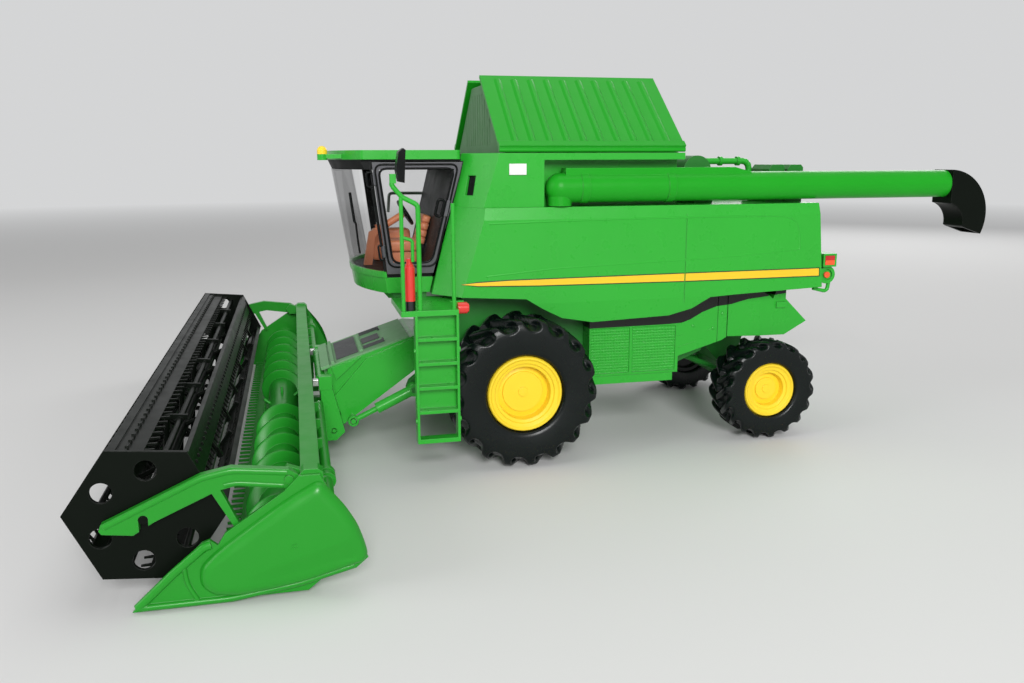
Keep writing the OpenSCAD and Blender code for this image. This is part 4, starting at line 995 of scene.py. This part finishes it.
def visor_row(z, r):
    """Arc of the visor at one height: y = ARC_Y - sqrt(r^2 - x^2)."""
    x = np.linspace(35.8, -35.8, 41)
    return np.stack([x, ARC_Y - np.sqrt(r * r - x * x), 0 * x + z], axis=-1)


def ring_slab(outer, inner, x0, x1):
    """Plate between two outlines of as many (y, z) points, the inner one a hole."""
    rows = [[(x, y, z) for y, z in outline]
            for outline, x in ((outer, x0), (outer, x1), (inner, x1), (inner, x0))]
    return grid_mesh(np.array(rows, float), wrap_u=True, wrap_v=True)


FAR_WINDOW = [(-47.9, 112.8), (-19.5, 112.8), (-28.4, 77.8), (-45.0, 77.8)]


def cab_shell():
    """Black shell of the cab: visor, far side with its window, strips round the door, rear wall and floor."""
    edges = ((VISOR_Z, 66.9), (ROOF_Z, 68.6), (ROOF_Z, 62.0), (VISOR_Z, 62.0))
    visor = band_round([visor_row(z, r) for z, r in edges])
    far = ring_slab([(-51.9, ROOF_Z), back_edge(ROOF_Z), back_edge(FLOOR_Z), (-46.8, FLOOR_Z)],
                    FAR_WINDOW, -CAB_HALF, WALL - CAB_HALF)
    above = slab([(-57.0, DOOR_TOP), (-57.0, ROOF_Z), back_edge(ROOF_Z), back_edge(DOOR_TOP)],
                 STRIP_X, CAB_HALF)
    behind = slab([(-18.3, DOOR_TOP), back_edge(DOOR_TOP), back_edge(FLOOR_Z), (-31.2, FLOOR_Z),
                   (-30.5, FLOOR_TOP), (-19.7, 110.0)], STRIP_X, CAB_HALF)
    foot = SCREEN_Z[0]
    post = slab([door_edge(foot, 0.8), door_edge(foot), door_edge(DOOR_TOP), door_edge(DOOR_TOP, 0.8)],
                35.0, CAB_HALF)
    rear = slab([back_edge(FLOOR_Z, 1.6), back_edge(FLOOR_Z), back_edge(ROOF_Z), back_edge(ROOF_Z, 1.6)],
                WALL - CAB_HALF, STRIP_X)
    plan = screen_row(FLOOR_Z, 1.0)[:, :2].tolist()
    plan += [(1.2 - CAB_HALF, bulkhead(FLOOR_Z) - 1), (34.6, bulkhead(FLOOR_Z) - 1)]
    # The floor is the plan extruded upwards: a slab of (z, x, y) with its columns put in order
    verts, faces = slab(plan, FLOOR_Z, FLOOR_TOP)
    floor = verts[:, [1, 2, 0]], faces
    return joined([visor, far, above, behind, post, rear, floor])


def cab_sill():
    """Rail under the windscreen, from the door's front edge round to the far side."""
    edges = ((FLOOR_Z, 0.1), (SILL_Z, 0.1), (SILL_Z, 1.3), (FLOOR_Z, 1.3))
    return band_round([screen_row(z, inset) for z, inset in edges])


def cover_studs():
    """Heads and short creases on the slanted side covers: low domes and thin rounds sunk to their crest."""
    parts = []
    rise, across, up = dome([(-0.1, 0.75), (0.2, 0.65), (0.36, 0.35), (0.4, 0.02)], 12)
    for y, z in ((75.9, 48.6), (84.9, 47.3), (88.9, 53.2)):
        parts.append(grid_mesh(np.stack([COVER_HALF + rise, y + across, z + up], axis=-1), wrap_v=True))
    for a, b in (((69.7, 40.1), (77.0, 42.2)), ((82.2, 46.3), (84.2, 47.2)), ((69.3, 44.7), (71.1, 45.0))):
        parts.append(tube([(COVER_HALF - 0.05, *a), (COVER_HALF - 0.05, *b)], 0.22, 8))
    return both_sides(joined(parts))


def shaded_air_slots():
    """Painted shade in the air slots of the tank's slanted corners: a thin black plate just above each slot's
    floor.
    A corner's face starts at base, is turned 37 degrees about z and leans back 14 degrees."""
    turn, lean = math.radians(37), math.radians(-14)
    along = np.array((math.cos(turn), math.sin(turn), 0.0))
    inward = np.array((-math.sin(turn) * math.cos(lean), math.cos(turn) * math.cos(lean), math.sin(lean)))
    up = np.cross(along, inward)
    base = np.array((TANK_HALF, -13.2, 98.5))
    slot = ((-10.4, 4.6), (-6.2, 4.6), (-6.2, 12.2), (-10.4, 12.2))
    verts = np.array([base + u * along + depth * inward + v * up for depth in (1.38, 1.2) for u, v in slot])
    faces = [[0, 1, 2, 3], [7, 6, 5, 4], [0, 4, 5, 1], [1, 5, 6, 2], [2, 6, 7, 3], [3, 7, 4, 0]]
    return both_sides((verts, faces))


def cab_keel():
    """Two short plates under the cab's base, between it and the deck."""
    return both_sides(slab([(-47.5, 66.3), (-33.2, 66.3), (-33.2, 62.9), (-45.0, 62.9)], 29.0, 33.5))


def far_rail():
    """Grab rail on the cab's far side: a thin round from the front post back, and its stay."""
    rail = rounded_path([(-38.0, -40.0, 92.6), (-38.0, -39.3, 101.2), (-38.0, -20.0, 101.0)], 1.6)
    return tube(rail, 0.7, 10)


def wiper_shape():
    """Wiper on the windscreen: arm, blade and the clip between them, each a thin round."""
    arm = rounded_path([(25.3, -60.7, 104.0), (25.1, -60.3, 100.4), (24.5, -59.3, 92.7)], 1.0)
    blade = rounded_path([(25.7, -58.9, 92.3), (24.6, -58.3, 86.0), (24.0, -57.6, 80.5)], 1.0)
    clip = [(24.4, -59.3, 92.9), (25.8, -58.9, 92.1)]
    return joined([tube(arm, 0.55, 8), tube(blade, 0.4, 8), tube(clip, 0.5, 8)])


# Pieces on their bodies

make_camera()
make_lights()
make_world()
make_floor()
bpy.context.scene.view_settings.view_transform = "Standard"
finish_cad()

for axle, wheel in (("front", FRONT_WHEEL), ("rear", REAR_WHEEL)):
    left = tyre_shape(wheel)
    for side, shape in (("left", left), ("right", mirrored(left))):
        name = f"tyre_{axle}_{side}"
        piece(f"lugged_{name}", shape, "satin_black", f"wheel_{axle}_{side}", [name],
              smooth_angle=50.0)

piece("auger_with_flights", auger_shape(), "auger_shaded_green", "cross_auger", ["cross_auger"],
      smooth_angle=40.0)
piece("knife_bolts", knife_bolts(), "header_shaded_green", "feeder")
piece("end_sheets", end_sheets(), "header_shaded_green", "feeder", ["header_ends"], recalc=True)
piece("end_mouldings", end_moulding(), "header_shaded_green", "feeder")
piece("arm_rims", arm_rims(), "header_shaded_green", "reel_arms", recalc=True)
piece("side_stripe_edge", stripe(0.4, 0.05), "stripe_edge", "root")
piece("side_stripe", stripe(0.0, 0.1), "stripe_yellow", "root")
piece("panel_lines", panel_lines(), "gloss_green", "root")
piece("grille_sheets", grilles(), "gloss_green", "root", smooth_angle=60.0)
piece("door_gasket", joined([window_ring(0.2, 0.45), window_ring(1.7, 0.4)]), "gloss_black",
      "door")
piece("door_handle", held_oval((DOOR_X + 0.9, -28.0, 98.3), 6.4, 2.4, 15, 0.55, DOOR_X - 0.2),
      "gloss_black", "door")
piece("hinge_loops", joined([
    held_oval((DOOR_X + 0.7, -53.85, 109.0), 5.4, 2.2, -6, 0.45, CAB_HALF - 0.4),
    held_oval((DOOR_X + 0.7, -50.55, 81.9), 5.4, 1.6, -6, 0.4, CAB_HALF - 0.4),
    tube([(DOOR_X, -53.05, 105.8), (DOOR_X, -50.4, 84.8)], 0.5, 10)]), "gloss_black", "root")
piece("moulded_seat", seat_shape(), "seat_brown", "root", ["seat"], smooth_angle=40.0)
piece("wiper", wiper_shape(), "gloss_black", "root")
# Black plates that paint shade into the air slots
piece("air_slot_shade_plates", shaded_air_slots(), "gloss_black", "root", recalc=True)
piece("cab_shell_posts", cab_shell(), "shell_black", "root", ["cab_frame"], recalc=True)
piece("wrapped_windscreen", windscreen_shape(), "clear_pane", "root", ["cab_glass"],
      smooth_angle=60.0)
piece("far_window_pane", slab(FAR_WINDOW, 0.5 - CAB_HALF, 1.0 - CAB_HALF), "clear_pane", "root",
      recalc=True)
piece("cab_sill", cab_sill(), "gloss_green", "root", recalc=True)
piece("cab_keel", cab_keel(), "frame_green", "root", recalc=True)
piece("far_grab_rail", far_rail(), "rail_grey", "root")
piece("cover_studs", cover_studs(), "gloss_green", "root", recalc=True)
